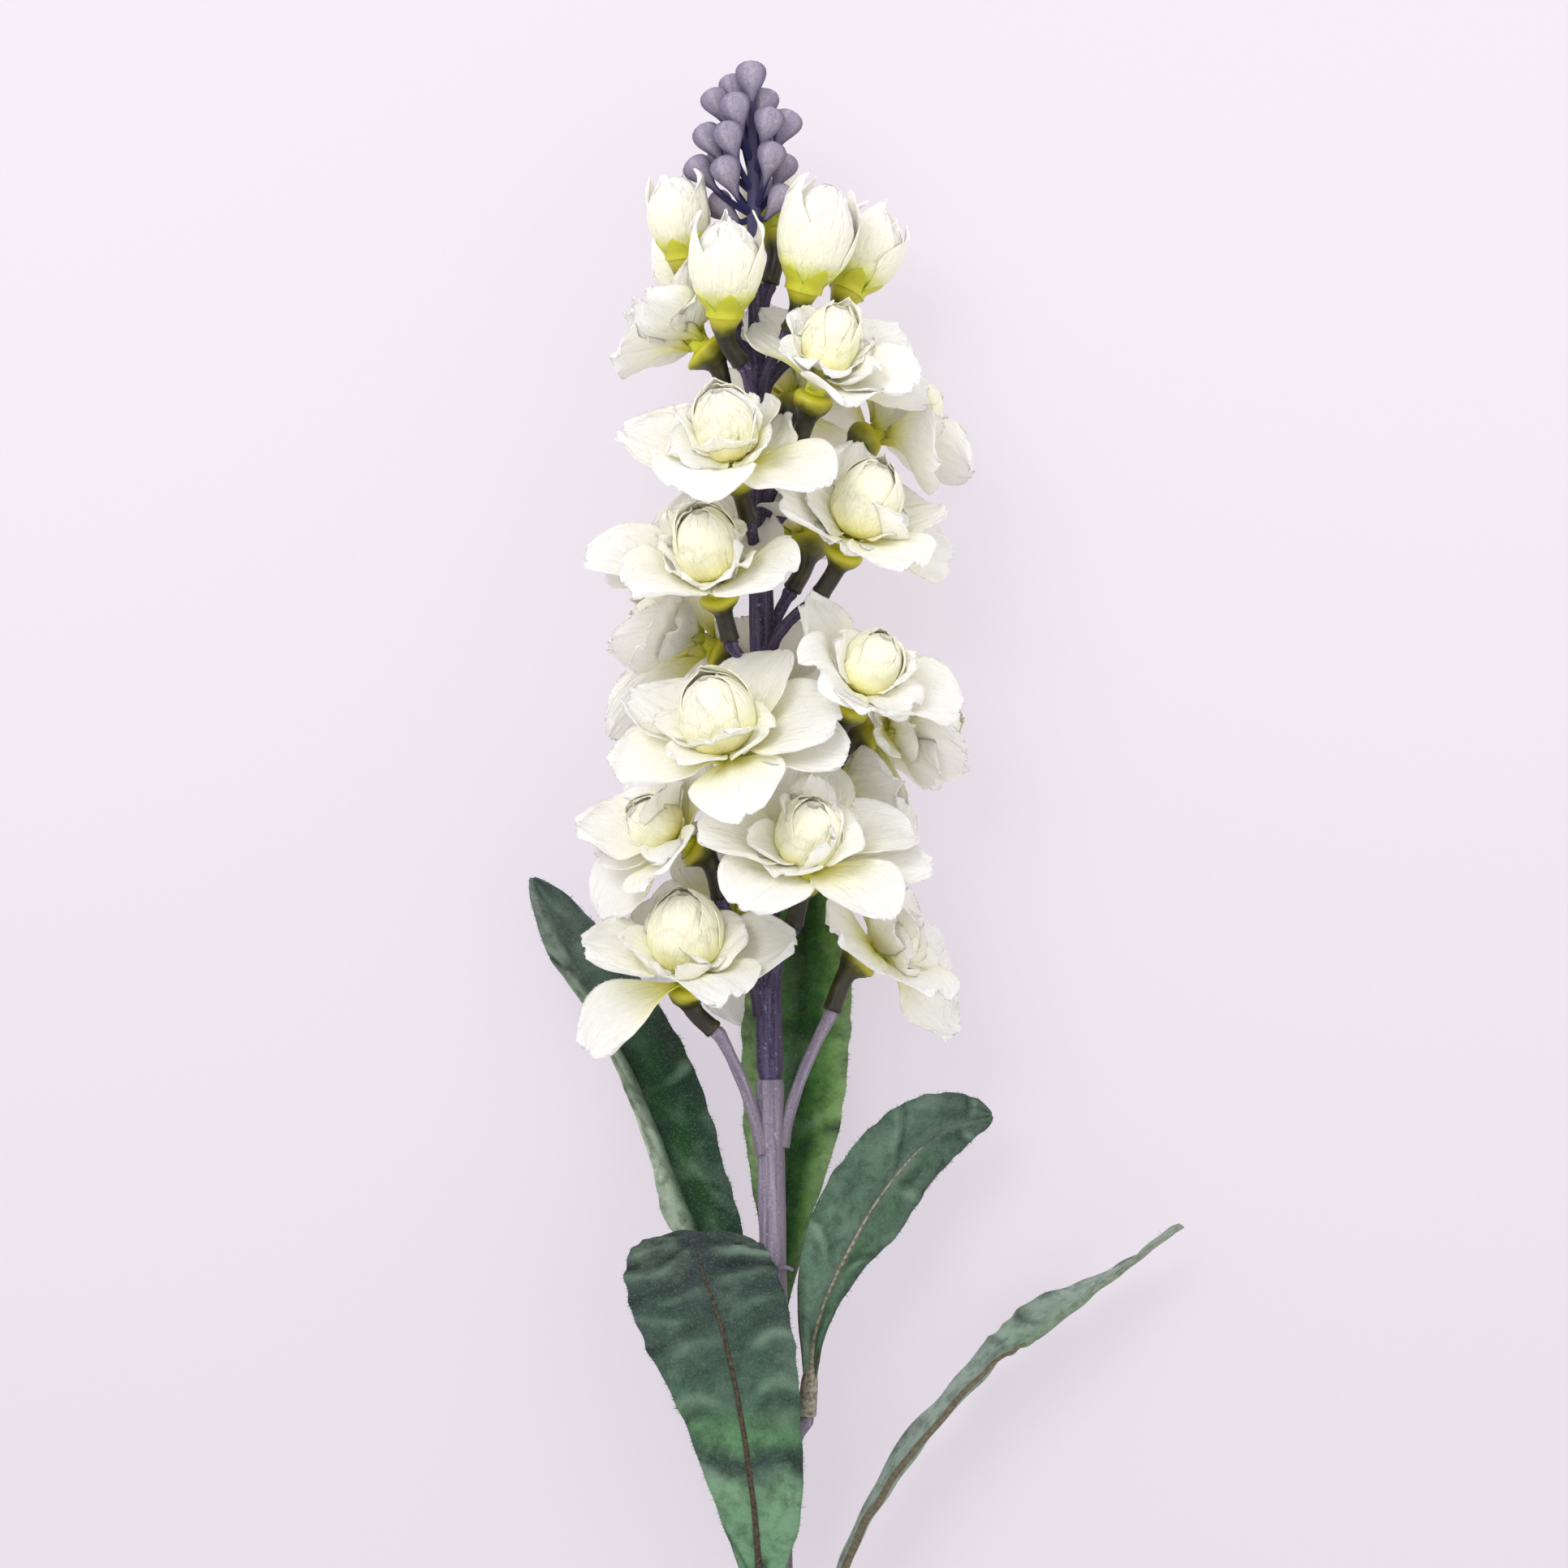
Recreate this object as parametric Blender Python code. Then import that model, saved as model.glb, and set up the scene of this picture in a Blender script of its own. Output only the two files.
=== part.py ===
"""A stem of white stock, as an artificial cut flower laid on a flat surface.

A moulded stem in two lengths carries pegs. Each peg holds a calyx or a leaf by its socket, and each calyx
holds a bloom of cloth petals round a closed middle. The tip is a cluster of unopened buds. The flowered end
is held up by the petals under it, so the stem rises from its cut end to the tip.
Places are read off the photograph as pixels and turned to metres by place(). Other sizes are real sizes.
"""

import math

import bmesh
import bpy
import numpy as np
from mathutils.bvhtree import BVHTree

MM = 0.001

# The stem, and how the photograph's pixels lie on it
LENGTH = 620 * MM
STEM_RADIUS = 3.4 * MM
STEM_SIDES = 8
SPIKE_RADIUS = 3.0 * MM
TIP_RADIUS = 1.3 * MM
RISE = math.radians(3.7)
PIXEL = 0.20 * MM
PICTURE_MIDDLE = 966
TIP_ROW = 88
JOINT_ROW = 1330
CROWN_ROW = 300
STEM_COLUMN, STEM_COLUMN_ROW, STEM_DRIFT = 953, 1550, 0.0186
VIEW_DISTANCE = 1.5
MIDDLE_ACROSS = 17.6 * MM
MIDDLE_ALONG = -133.1 * MM

# Thin parts and fits
BLADE = 0.6 * MM
GAP = 0.3 * MM
CLEARANCE = 0.5 * MM
PEG_RADIUS = 1.15 * MM
PEG_TAPER = (0.65, 1.35, 1.35, 0.95, 0.85)
PEG_SIDES = 4
SOCKET_RADIUS = 1.5 * MM
SOCKET_DEPTH = 6 * MM
SLEEVE_RADIUS = 2.2 * MM
CALYX_RADIUS = 4.6 * MM
CUP_DEPTH = 6 * MM
CALYX_SIDES = 5
WIRE_RADIUS = 1.1 * MM
BORE_RADIUS = 1.5 * MM
WIRE_ABOVE_JOINT = 30 * MM
PIN_RADIUS = 0.75 * MM
PIN_SOCKET = 1.1 * MM
PIN_LENGTH = 5 * MM
LEAF_BLADE = 0.8 * MM
STALK_TAPER = (1.0, 0.9, 0.7, 0.45)
STALK_SIDES = 6

ACROSS = np.array([1.0, 0.0, 0.0])
ALONG = np.array([0.0, math.cos(RISE), math.sin(RISE)])
OUT = np.array([0.0, -math.sin(RISE), math.cos(RISE)])
CUT_ROW = TIP_ROW + LENGTH / PIXEL
CUT_ALONG = (PICTURE_MIDDLE - CUT_ROW) * PIXEL
CUT_HEIGHT = STEM_RADIUS * math.cos(math.pi / STEM_SIDES) * math.cos(RISE)
START = np.array([-MIDDLE_ACROSS, -MIDDLE_ALONG * math.cos(RISE), CUT_HEIGHT - CUT_ALONG * math.sin(RISE)])
EYE = START + OUT * VIEW_DISTANCE


def place(column, row, depth=0.0):
    """The point that a pixel shows, at a depth in metres toward the viewer from the stem's own axis."""
    scale = PIXEL * (1 - depth / VIEW_DISTANCE)
    across = scale * (column - PICTURE_MIDDLE)
    along = scale * (PICTURE_MIDDLE - row)
    return START + ACROSS * across + ALONG * along + OUT * depth


def stem_point(row, depth=0.0):
    return place(STEM_COLUMN + (row - STEM_COLUMN_ROW) * STEM_DRIFT, row, depth)


def unit(vector):
    return vector / np.linalg.norm(vector)


def direction(aim):
    """aim is in degrees: to the right of straight up the picture, then toward the viewer."""
    turn, tilt = math.radians(aim[0]), math.radians(aim[1])
    flat = ACROSS * math.sin(turn) + ALONG * math.cos(turn)
    return flat * math.cos(tilt) + OUT * math.sin(tilt)


def turned(vector, axis, degrees):
    angle = math.radians(degrees)
    flat = np.cross(axis, vector)
    return vector * math.cos(angle) + flat * math.sin(angle) + axis * (axis @ vector) * (1 - math.cos(angle))


def sides_of(axis):
    """Two directions square to an axis. The first points down the picture as far as it can."""
    first = unit(-ALONG + OUT * 0.2 - axis * ((-ALONG + OUT * 0.2) @ axis))
    return first, np.cross(first, axis)


class Bloom:
    """Where one bloom sits, and how its petals stand. Tips are the pixels where outer petals end."""

    def __init__(self, name, cup, foot, aim, tips=(), form="open", root=75, length=30, width=22,
                 middle=(9.2, 23), petals=6, lean=18, swell=1.0):
        self.name = name
        self.cup = place(cup[0], cup[1], cup[2] * MM)
        self.foot = place(foot[0], foot[1], foot[2] * MM)
        self.axis = direction(aim)
        self.tips = tips
        self.petals = petals
        self.lean = lean
        self.swell = swell
        self.form = form
        self.root = foot[1] + root
        self.length = length * MM
        self.width = width * MM
        self.middle_radius = middle[0] * MM
        self.middle_height = middle[1] * MM
        self.base = self.cup + self.axis * GAP
        self.throat = self.cup - self.axis * CUP_DEPTH


BLOOMS = [
    Bloom("front_left", (905, 940, 19), (918, 1000, 12), (-20, 27), length=33, width=24, middle=(9.2, 25),
          tips=((926, 780), (752, 872), (748, 968), (925, 1014), (1056, 930), (1042, 878))),
    Bloom("front_right", (990, 1078, 19), (978, 1140, 10), (8, 33), length=33, width=24, middle=(8.2, 21),
          tips=((850, 1018), (905, 1115), (1060, 1168), (1157, 1092), (1128, 1003), (1010, 925))),
    Bloom("mid_left_top", (908, 584, 18), (922, 640, 11), (-14, 26), length=32, width=24, middle=(8, 23),
          tips=((986, 490), (985, 604), (838, 602), (757, 545), (835, 466), (940, 452))),
    Bloom("up_right", (1004, 484, 13), (979, 560, 8), (17, 18), length=31, middle=(7.2, 23),
          tips=((905, 398), (968, 374), (1105, 388), (1155, 452), (1055, 505), (1140, 495))),
    Bloom("mid_left", (885, 730, 14), (900, 790, 10), (-14, 28), length=31, width=23, middle=(8.2, 23),
          tips=((955, 640), (977, 712), (738, 697), (727, 632), (768, 730), (860, 615))),
    Bloom("mid_right", (1042, 676, 11), (1010, 733, 8), (24, 22), width=23, middle=(8.4, 24),
          tips=((984, 580), (1042, 533), (1183, 678), (1132, 712), (1165, 605))),
    Bloom("low_right", (1050, 866, 10), (1016, 935, 6), (27, 24), length=29, middle=(7.4, 20),
          tips=((998, 728), (988, 838), (1075, 895), (1198, 870), (1163, 822))),
    Bloom("base_left", (848, 1214, 9), (881, 1270, 7), (-3, 22), root=150, length=31, width=23,
          middle=(9.2, 25),
          tips=((706, 1180), (718, 1308), (934, 1135), (905, 1228), (870, 1075))),
    Bloom("base_right", (1068, 1178, 0), (1025, 1246, 0), (55, 6), root=166, middle=(6.5, 15),
          tips=((1036, 1198), (1060, 1098), (1167, 1138), (1192, 1262))),
    Bloom("low_left", (850, 1042, 4), (888, 1108, 2), (-58, 12), root=142, middle=(7, 17),
          tips=((687, 1046), (718, 1120), (815, 1098), (740, 1015), (810, 965))),
    Bloom("up_left", (866, 428, 2), (893, 492, 0), (-42, -4), length=25, width=18, middle=(6, 17), lean=38,
          swell=1.25, tips=((793, 367), (755, 392), (768, 442), (848, 346))),
    Bloom("up_far_right", (1072, 538, -6), (1030, 590, -6), (55, -25), length=29, lean=30,
          tips=((1190, 530), (1160, 465), (1012, 515))),
    Bloom("back_right", (1075, 905, -9), (1022, 955, -8), (78, -12), length=28,
          tips=((1193, 938), (1138, 1002), (1060, 1010), (1112, 846))),
    Bloom("back_left", (880, 800, -12), (905, 850, -9), (-62, -8), length=31,
          tips=((740, 783), (742, 812), (728, 888), (860, 740)), petals=5),
    Bloom("back_middle", (990, 668, -10), (975, 728, -7), (-12, -30), length=26, width=20,
          swell=1.2, tips=((966, 620),), petals=5),
    Bloom("base_back", (902, 1140, -14), (930, 1190, -8), (-40, -42), width=21,
          tips=((934, 1272),), petals=5),
    Bloom("under_low", (1015, 985, -14), (985, 1040, -9), (50, -42), length=28, petals=5),
    Bloom("under_middle", (925, 880, -16), (940, 935, -9), (-15, -50), petals=5),
    Bloom("under_high", (975, 500, -15), (955, 560, -9), (15, -48), length=28, width=21, petals=5),
    Bloom("bud_left", (843, 318, 0), (868, 374, -1), (-7, 6), form="bud", middle=(9, 24.5)),
    Bloom("bud_middle", (893, 388, 13), (914, 448, 9), (2, 14), form="bud", middle=(9.2, 24)),
    Bloom("bud_right", (990, 356, 9), (972, 408, 6), (14, 10), form="bud", middle=(9.6, 27)),
    Bloom("bud_far_right", (1043, 360, -6), (1020, 412, -6), (26, -10), form="bud", middle=(9, 23)),
    Bloom("bud_back", (955, 292, -12), (948, 350, -8), (-6, -35), form="bud", middle=(8.5, 21)),
    Bloom("bud_back_left", (880, 352, -14), (905, 405, -9), (-50, -32), form="bud", middle=(8.5, 21)),
]

# The rows of points along a blade, as shares of its length, and the points across it
PETAL_ROWS = (0, 0.3, 0.68, 1)
MIDDLE_ROWS = (0, 0.25, 0.7, 1)
PETAL_COLUMNS = 3
LEAF_ROWS = 7
LEAF_COLUMNS = 5

# How petals stand, and the changes tried in turn where one meets a neighbour: lift, turn and size
PETAL_BOW = 0.14
PETAL_CUP = 0.6
PRESSED = 2.5 * MM
MOST_EDGE_ON = math.radians(50)
CLAW_RADIUS = 2.8 * MM
CLAW_HEIGHT = 0.8 * MM
UPPER_CLAW_HEIGHT = 2.4 * MM
MIDDLE_CLAW_HEIGHT = 4.0 * MM
MIDDLE_CLAW_RADIUS = 2.6 * MM
HEART_RADIUS = 4.0 * MM
BUD_CLAW_HEIGHT = 1.2 * MM
MIDDLE_SPAN = math.radians(54)
BUD_SPAN = math.radians(43)
MIDDLE_SIZES = (1.0, 0.92, 0.84, 0.76, 0.68)
CHANGES = [
    (lift, turn, size)
    for size in (1.0, 0.88, 0.76, 0.64)
    for lift in (0, 8, -8, 16, -16, 26, -26, 38, 50)
    for turn in (0, 8, -8, 17, -17)
]


def width_share(v):
    """A petal's width from its claw, v = 0, to its tip, v = 1."""
    rise = 0.11 + 0.89 * np.sin(0.5 * math.pi * np.clip(v / 0.66, 0, 1)) ** 1.7
    return rise * (1 - 0.4 * np.clip((v - 0.66) / 0.34, 0, 1) ** 2)


def off_floor(points, lowest):
    points = points.copy()
    points[..., 2] = np.maximum(points[..., 2], lowest)
    return points


def petal_sheet(bloom, claw, tip, width, rows=PETAL_ROWS, columns=PETAL_COLUMNS):
    """The middle surface of an outer petal, as a grid of points from claw to tip.

    One that would be seen edge-on is rolled toward the viewer as it leaves its claw.
    """
    axis = bloom.axis
    reach = tip - bloom.base
    length = np.linalg.norm(reach)
    heading = reach / length
    radial = unit(heading - (heading @ axis) * axis + 1e-6 * ACROSS)
    bow = unit(axis - (axis @ heading) * heading)
    knee = bloom.base + reach * 0.42 + bow * PETAL_BOW * length
    v = np.array(rows)[:, None]
    spine = (1 - v) ** 2 * claw + 2 * v * (1 - v) * knee + v ** 2 * tip
    tangent = 2 * (1 - v) * (knee - claw) + 2 * v * (tip - knee)
    tangent /= np.linalg.norm(tangent, axis=1)[:, None]
    side = unit(np.cross(axis, radial))
    side = side - (tangent @ side)[:, None] * tangent
    side /= np.linalg.norm(side, axis=1)[:, None]
    face = np.cross(tangent, side)
    view = unit(EYE - tip)
    seen = math.atan2(side[-1] @ view, face[-1] @ view)
    if abs(seen) > math.pi / 2:
        seen -= math.copysign(math.pi, seen)
    roll = math.copysign(max(0, abs(seen) - MOST_EDGE_ON), seen) * np.clip(v / 0.5, 0, 1)
    side, face = side * np.cos(roll) - face * np.sin(roll), face * np.cos(roll) + side * np.sin(roll)
    u = np.linspace(-1, 1, columns)
    half = 0.5 * width * width_share(v)
    sheet = spine[:, None, :] + side[:, None, :] * (half * np.sin(PETAL_CUP * u) / PETAL_CUP)[..., None]
    sheet += face[:, None, :] * (half * (1 - np.cos(PETAL_CUP * u)) / PETAL_CUP)[..., None]
    sheet -= tangent[:, None, :] * (np.abs(u) ** 2.2 * v ** 3 * 0.16 * length)[..., None]
    return off_floor(sheet, BLADE / 2)


def middle_sheet(bloom, turn, rows=MIDDLE_ROWS, columns=PETAL_COLUMNS):
    """The middle surface of one of the closed petals round the heart."""
    bud = bloom.form == "bud"
    first, second = sides_of(bloom.axis)
    v = np.array(rows)[:, None]
    u = np.linspace(-1, 1, columns)
    below, above = np.clip(1 - v / 0.5, 0, 1), np.clip(v / 0.5 - 1, 0, 1)
    swell = 1 - below ** (4 if bud else 3) - 0.55 * above ** 2.5
    out = MIDDLE_CLAW_RADIUS + (bloom.middle_radius - MIDDLE_CLAW_RADIUS) * swell
    span = BUD_SPAN if bud else MIDDLE_SPAN
    span = span * (0.5 + 0.5 * np.minimum(1, v / 0.4)) * (1 - (0.7 if bud else 0.5) * v ** 5)
    angle = turn + span * u
    claw_height = BUD_CLAW_HEIGHT if bud else MIDDLE_CLAW_HEIGHT
    up = claw_height + (bloom.middle_height - claw_height) * (v - 0.1 * u ** 2 * v ** 2)
    sheet = bloom.base + bloom.axis * up[..., None]
    sheet = sheet + first * (out * np.cos(angle))[..., None] + second * (out * np.sin(angle))[..., None]
    return off_floor(sheet, BLADE / 2)


def grid_triangles(rows, columns, start=0, flip=False):
    found = []
    for row in range(rows - 1):
        for column in range(columns - 1):
            a = start + row * columns + column
            b, c, d = a + 1, a + columns + 1, a + columns
            found += [(a, c, b), (a, d, c)] if flip else [(a, b, c), (a, c, d)]
    return found


def blade(sheet, thickness):
    """A closed thin solid on both sides of a sheet, as points and triangles."""
    rows, columns = sheet.shape[:2]
    down = np.gradient(sheet, axis=0)
    over = np.gradient(sheet, axis=1)
    normal = np.cross(over, down)
    normal /= np.linalg.norm(normal, axis=2)[..., None] + 1e-12
    pressed = sheet[..., 2] < BLADE / 2 + 1e-9
    normal[pressed] = np.sign(normal[pressed][:, 2:]) * np.array([0.0, 0.0, 1.0])
    upper = (sheet + normal * thickness / 2).reshape(-1, 3)
    lower = (sheet - normal * thickness / 2).reshape(-1, 3)
    lift = np.maximum(0, -np.minimum(upper[:, 2], lower[:, 2]))
    upper[:, 2] += lift
    lower[:, 2] += lift
    count = rows * columns
    faces = grid_triangles(rows, columns) + grid_triangles(rows, columns, count, flip=True)
    rim = [*range(columns), *(row * columns + columns - 1 for row in range(1, rows))]
    rim += [*range(count - 2, count - columns - 1, -1), *(row * columns for row in range(rows - 2, 0, -1))]
    for a, b in zip(rim, rim[1:] + rim[:1]):
        faces += [(b, a, a + count), (b, a + count, b + count)]
    return np.vstack([upper, lower]), faces


def loft(rings, endless=False):
    """A closed solid through rings of points. An endless one joins its last ring to its first."""
    sides, count = len(rings[0]), len(rings)
    faces = []
    for ring in range(count if endless else count - 1):
        after = (ring + 1) % count
        for k in range(sides):
            a, b = ring * sides + k, ring * sides + (k + 1) % sides
            c, d = after * sides + (k + 1) % sides, after * sides + k
            faces += [(a, b, c), (a, c, d)]
    if not endless:
        top = (count - 1) * sides
        for k in range(1, sides - 1):
            faces += [(0, k + 1, k), (top, top + k, top + k + 1)]
    return np.vstack(rings), faces


def tube(path, radii, sides, socket=0.0, socket_depth=0.0, bore=0.0):
    """A closed solid round a path. It may have a socket in its first end, or a bore right through."""
    path = np.asarray(path, float)
    tangents = [unit(tangent) for tangent in np.gradient(path, axis=0)]
    side = unit(np.cross(tangents[0], OUT + 0.01 * ACROSS))
    angles = (np.arange(sides) + 0.5) * 2 * math.pi / sides
    rings = []
    for point, tangent, radius in zip(path, tangents, radii):
        side = unit(side - (side @ tangent) * tangent)
        other = np.cross(tangent, side)
        rings.append(np.array([point + radius * (side * math.cos(a) + other * math.sin(a)) for a in angles]))
    if bore:
        inner = [centre + (ring - centre) * bore / radius for centre, ring, radius in zip(path, rings, radii)]
        rings += inner[::-1]
    if socket:
        inner = path[0] + (rings[0] - path[0]) * socket / radii[0]
        rings = [inner + tangents[0] * socket_depth, inner] + rings
    return loft(rings, endless=bool(bore))


def curve(start, bend, end, count):
    t = np.linspace(0, 1, count)[:, None]
    return (1 - t) ** 2 * start + 2 * t * (1 - t) * bend + t ** 2 * end


def past_claw(sheet):
    """A sheet without the first part of its claw, where petals of one bloom may meet."""
    return np.concatenate([sheet[:1] * 0.6 + sheet[1:2] * 0.4, sheet[1:]])


def search_tree(shape):
    return BVHTree.FromPolygons([tuple(p) for p in shape[0]], shape[1])


class Room:
    """The solids placed so far, with the node of each. Petals of one bloom meet only near their claws."""

    def __init__(self):
        self.placed = []

    def add(self, node, shape, free=None):
        self.placed.append((node, search_tree(shape), free and search_tree(free), shape[0].min(axis=0),
                            shape[0].max(axis=0)))

    def is_clear(self, node, shape, free=None):
        low, high = shape[0].min(axis=0), shape[0].max(axis=0)
        near = [row for row in self.placed if not ((low > row[4]).any() or (high < row[3]).any())]
        others = [row[1] for row in near if row[0] != node]
        siblings = [row[2] for row in near if row[0] == node and row[2]]
        tree = search_tree(shape)
        if any(tree.overlap(other) for other in others):
            return False
        if free is None or not siblings:
            return True
        tree = search_tree(free)
        return not any(tree.overlap(sibling) for sibling in siblings)


def mesh_object(name, shape, collection=None):
    points, faces = shape
    mesh = bpy.data.meshes.new(name)
    mesh.from_pydata([tuple(p) for p in points], [], faces)
    work = bmesh.new()
    work.from_mesh(mesh)
    bmesh.ops.recalc_face_normals(work, faces=work.faces)
    work.to_mesh(mesh)
    work.free()
    found = bpy.data.objects.new(name, mesh)
    (collection or bpy.context.scene.collection).objects.link(found)
    return found


def fuse(name, shapes, material):
    """One closed body from shapes that cross, by one Boolean union on a collection."""
    body = mesh_object(name, shapes[0])
    rest = bpy.data.collections.new(name + "_rest")
    bpy.context.scene.collection.children.link(rest)
    for shape in shapes[1:]:
        mesh_object(name + "_piece", shape, rest)
    if rest.objects:
        union = body.modifiers.new("Union", "BOOLEAN")
        union.operation = "UNION"
        union.operand_type = "COLLECTION"
        union.collection = rest
        union.solver = "MANIFOLD"
        graph = bpy.context.evaluated_depsgraph_get()
        joined = bpy.data.meshes.new_from_object(body.evaluated_get(graph))
        body.modifiers.clear()
        body.data = joined
    for piece in list(rest.objects):
        bpy.data.objects.remove(piece)
    bpy.data.collections.remove(rest)
    body.data.materials.clear()
    body.data.materials.append(material)
    return body


def plain_material(name, colour, roughness, metallic=0.0):
    material = bpy.data.materials.new(name)
    material.use_nodes = True
    shader = material.node_tree.nodes["Principled BSDF"]
    shader.inputs["Base Color"].default_value = (*colour, 1.0)
    shader.inputs["Roughness"].default_value = roughness
    shader.inputs["Metallic"].default_value = metallic
    material.diffuse_color = (*colour, 1.0)
    return material


def stem_radius(row):
    if row > JOINT_ROW:
        return STEM_RADIUS
    return np.interp(row, [CROWN_ROW, 500, 900], [TIP_RADIUS, 0.8 * SPIKE_RADIUS, SPIKE_RADIUS])


def peg_shape(root_row, foot, heading):
    """A side shoot of the stem: it leaves along the stem, bends out, and ends inside a socket."""
    root = stem_point(root_row)
    outward = foot - root
    outward = unit(outward - (outward @ ALONG) * ALONG)
    start = root + outward * (stem_radius(root_row) - 0.8 * MM)
    end = foot - heading * 1.5 * MM
    bend = start + ALONG * 0.55 * ((end - start) @ ALONG) + outward * 0.12 * np.linalg.norm(end - start)
    inside = [foot - heading * 0.5 * MM, foot + heading * (SOCKET_DEPTH - GAP)]
    path = np.vstack([curve(start, bend, end, 3), *inside])
    return tube(path, [PEG_RADIUS * share for share in PEG_TAPER], PEG_SIDES)


def calyx_shape(bloom):
    """A sleeve with a socket, flaring to the cup that holds the petals."""
    neck = bloom.foot + (bloom.throat - bloom.foot) * 0.75
    widest = bloom.cup - bloom.axis * 0.57 * CUP_DEPTH
    radii = [SLEEVE_RADIUS, SLEEVE_RADIUS, CALYX_RADIUS * bloom.swell, CALYX_RADIUS * 0.86]
    return tube([bloom.foot, neck, widest, bloom.cup], radii, CALYX_SIDES, SOCKET_RADIUS, SOCKET_DEPTH)


def ring_point(bloom, turn, radius, height):
    first, second = sides_of(bloom.axis)
    flat = first * math.cos(turn) + second * math.sin(turn)
    return bloom.base + flat * radius + bloom.axis * height


def heart_shape(bloom, phase, sides):
    """The small core that the petals stand out of, with one flat side behind each claw."""
    rings = []
    turns = [phase + (k + 0.5) * 2 * math.pi / sides for k in range(sides)]
    for height, radius in ((0.0, HEART_RADIUS), (0.65 * bloom.middle_height, 0.6 * HEART_RADIUS)):
        rings.append([ring_point(bloom, turn, radius, height) for turn in turns])
    return loft(rings)


def tip_of(bloom, pixel):
    """The tip on a pixel's line of sight at the petal's length, on the side where this bloom's petals lean."""
    ray = unit(place(*pixel) - EYE)
    back = bloom.base - EYE
    along = back @ ray
    spare = along ** 2 - back @ back + bloom.length ** 2
    if spare <= 0:
        return EYE + ray * along
    ends = [EYE + ray * (along + sign * math.sqrt(spare)) for sign in (-1, 1)]
    want = math.sin(math.radians(bloom.lean))
    return min(ends, key=lambda end: abs((end - bloom.base) @ bloom.axis / bloom.length - want))


def turn_of(bloom, point):
    first, second = sides_of(bloom.axis)
    return math.atan2((point - bloom.base) @ second, (point - bloom.base) @ first) % (2 * math.pi)


def petal_tips(bloom):
    """The tips in ring order, first those read off the photograph, and the turn of the first claw."""
    full = 2 * math.pi
    lean = math.radians(bloom.lean)
    out, up = bloom.length * math.cos(lean), bloom.length * math.sin(lean)
    tips = [tip_of(bloom, pixel) for pixel in bloom.tips]
    while len(tips) < bloom.petals:
        ring = sorted(turn_of(bloom, tip) for tip in tips) or [0.3]
        pairs = zip(ring, ring[1:] + ring[:1])
        gap, turn = max(((after - turn) % full or full, turn) for turn, after in pairs)
        tips.append(ring_point(bloom, turn + gap / 2, out, up))
    tips.sort(key=lambda tip: turn_of(bloom, tip))
    offsets = [turn_of(bloom, tip) - index * full / len(tips) for index, tip in enumerate(tips)]
    return tips, sum(offsets) / len(tips)


def changed_tip(bloom, tip, change):
    """A tip lifted toward the bloom's axis, turned round it and drawn in, but no lower than pressed flat."""
    lift, turn, size = change
    reach = tip - bloom.base
    around = unit(np.cross(reach, bloom.axis))
    reach = turned(turned(reach, around, lift), bloom.axis, turn) * size
    length = np.linalg.norm(reach)
    low = -PRESSED - bloom.base[2]
    if reach[2] < low:
        flat = unit(np.array([reach[0], reach[1], 0.0]))
        reach = flat * math.sqrt(max(length ** 2 - low ** 2, (0.3 * length) ** 2)) + np.array([0, 0, low])
    return bloom.base + reach


def bloom_middles(room):
    """The heart and the closed petals of every bloom, made smaller where they would meet something."""
    found = {}
    for bloom in BLOOMS:
        node = "petals_" + bloom.name
        bud = bloom.form == "bud"
        phase = 0.0 if bud else petal_tips(bloom)[1]
        closed = 4 if bud else 3
        sides = closed if bud else max(bloom.petals, len(bloom.tips))
        full = bloom.middle_radius, bloom.middle_height
        for size in MIDDLE_SIZES:
            bloom.middle_radius, bloom.middle_height = full[0] * size, full[1] * size
            heart = heart_shape(bloom, phase, sides)
            sheets = []
            step = 2 * math.pi / sides
            for k in range(closed):
                turn = phase + (round(-phase / step) + round(k * sides / closed)) * step
                sheets.append(middle_sheet(bloom, turn))
            petals = [blade(sheet, BLADE) for sheet in sheets]
            if all(room.is_clear(node, shape) for shape in [heart, *petals]):
                break
        room.add(node, heart)
        for sheet, shape in zip(sheets, petals):
            room.add(node, shape, blade(past_claw(sheet), BLADE))
        found[bloom.name] = [heart, *petals]
    return found


def add_outer_petals(room, middles):
    """Each outer petal with the first change that leaves it clear. One with none is left out."""
    for bloom in BLOOMS:
        if bloom.form == "bud":
            continue
        node = "petals_" + bloom.name
        tips, phase = petal_tips(bloom)
        for index, tip in enumerate(tips):
            height = UPPER_CLAW_HEIGHT if index % 2 else CLAW_HEIGHT
            claw = ring_point(bloom, phase + index * 2 * math.pi / len(tips), CLAW_RADIUS, height)
            for change in CHANGES:
                moved = changed_tip(bloom, tip, change)
                width = bloom.width * change[2] ** 0.5
                sheet = petal_sheet(bloom, claw, moved, width)
                free = blade(past_claw(sheet), BLADE)
                if room.is_clear(node, blade(sheet, BLADE + CLEARANCE), free):
                    shape = blade(sheet, BLADE)
                    room.add(node, shape, free)
                    middles[bloom.name].append(shape)
                    break


class Leaf:
    """A leaf by its rib and its two edges, each a list of pixels with depths in mm, from foot to tip."""

    def __init__(self, name, foot, root, rib, left, right):
        self.name = name
        self.foot = place(foot[0], foot[1], foot[2] * MM)
        self.root = root
        self.lines = [np.array([place(c, r, d * MM) for c, r, d in line]) for line in (left, rib, right)]


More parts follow.
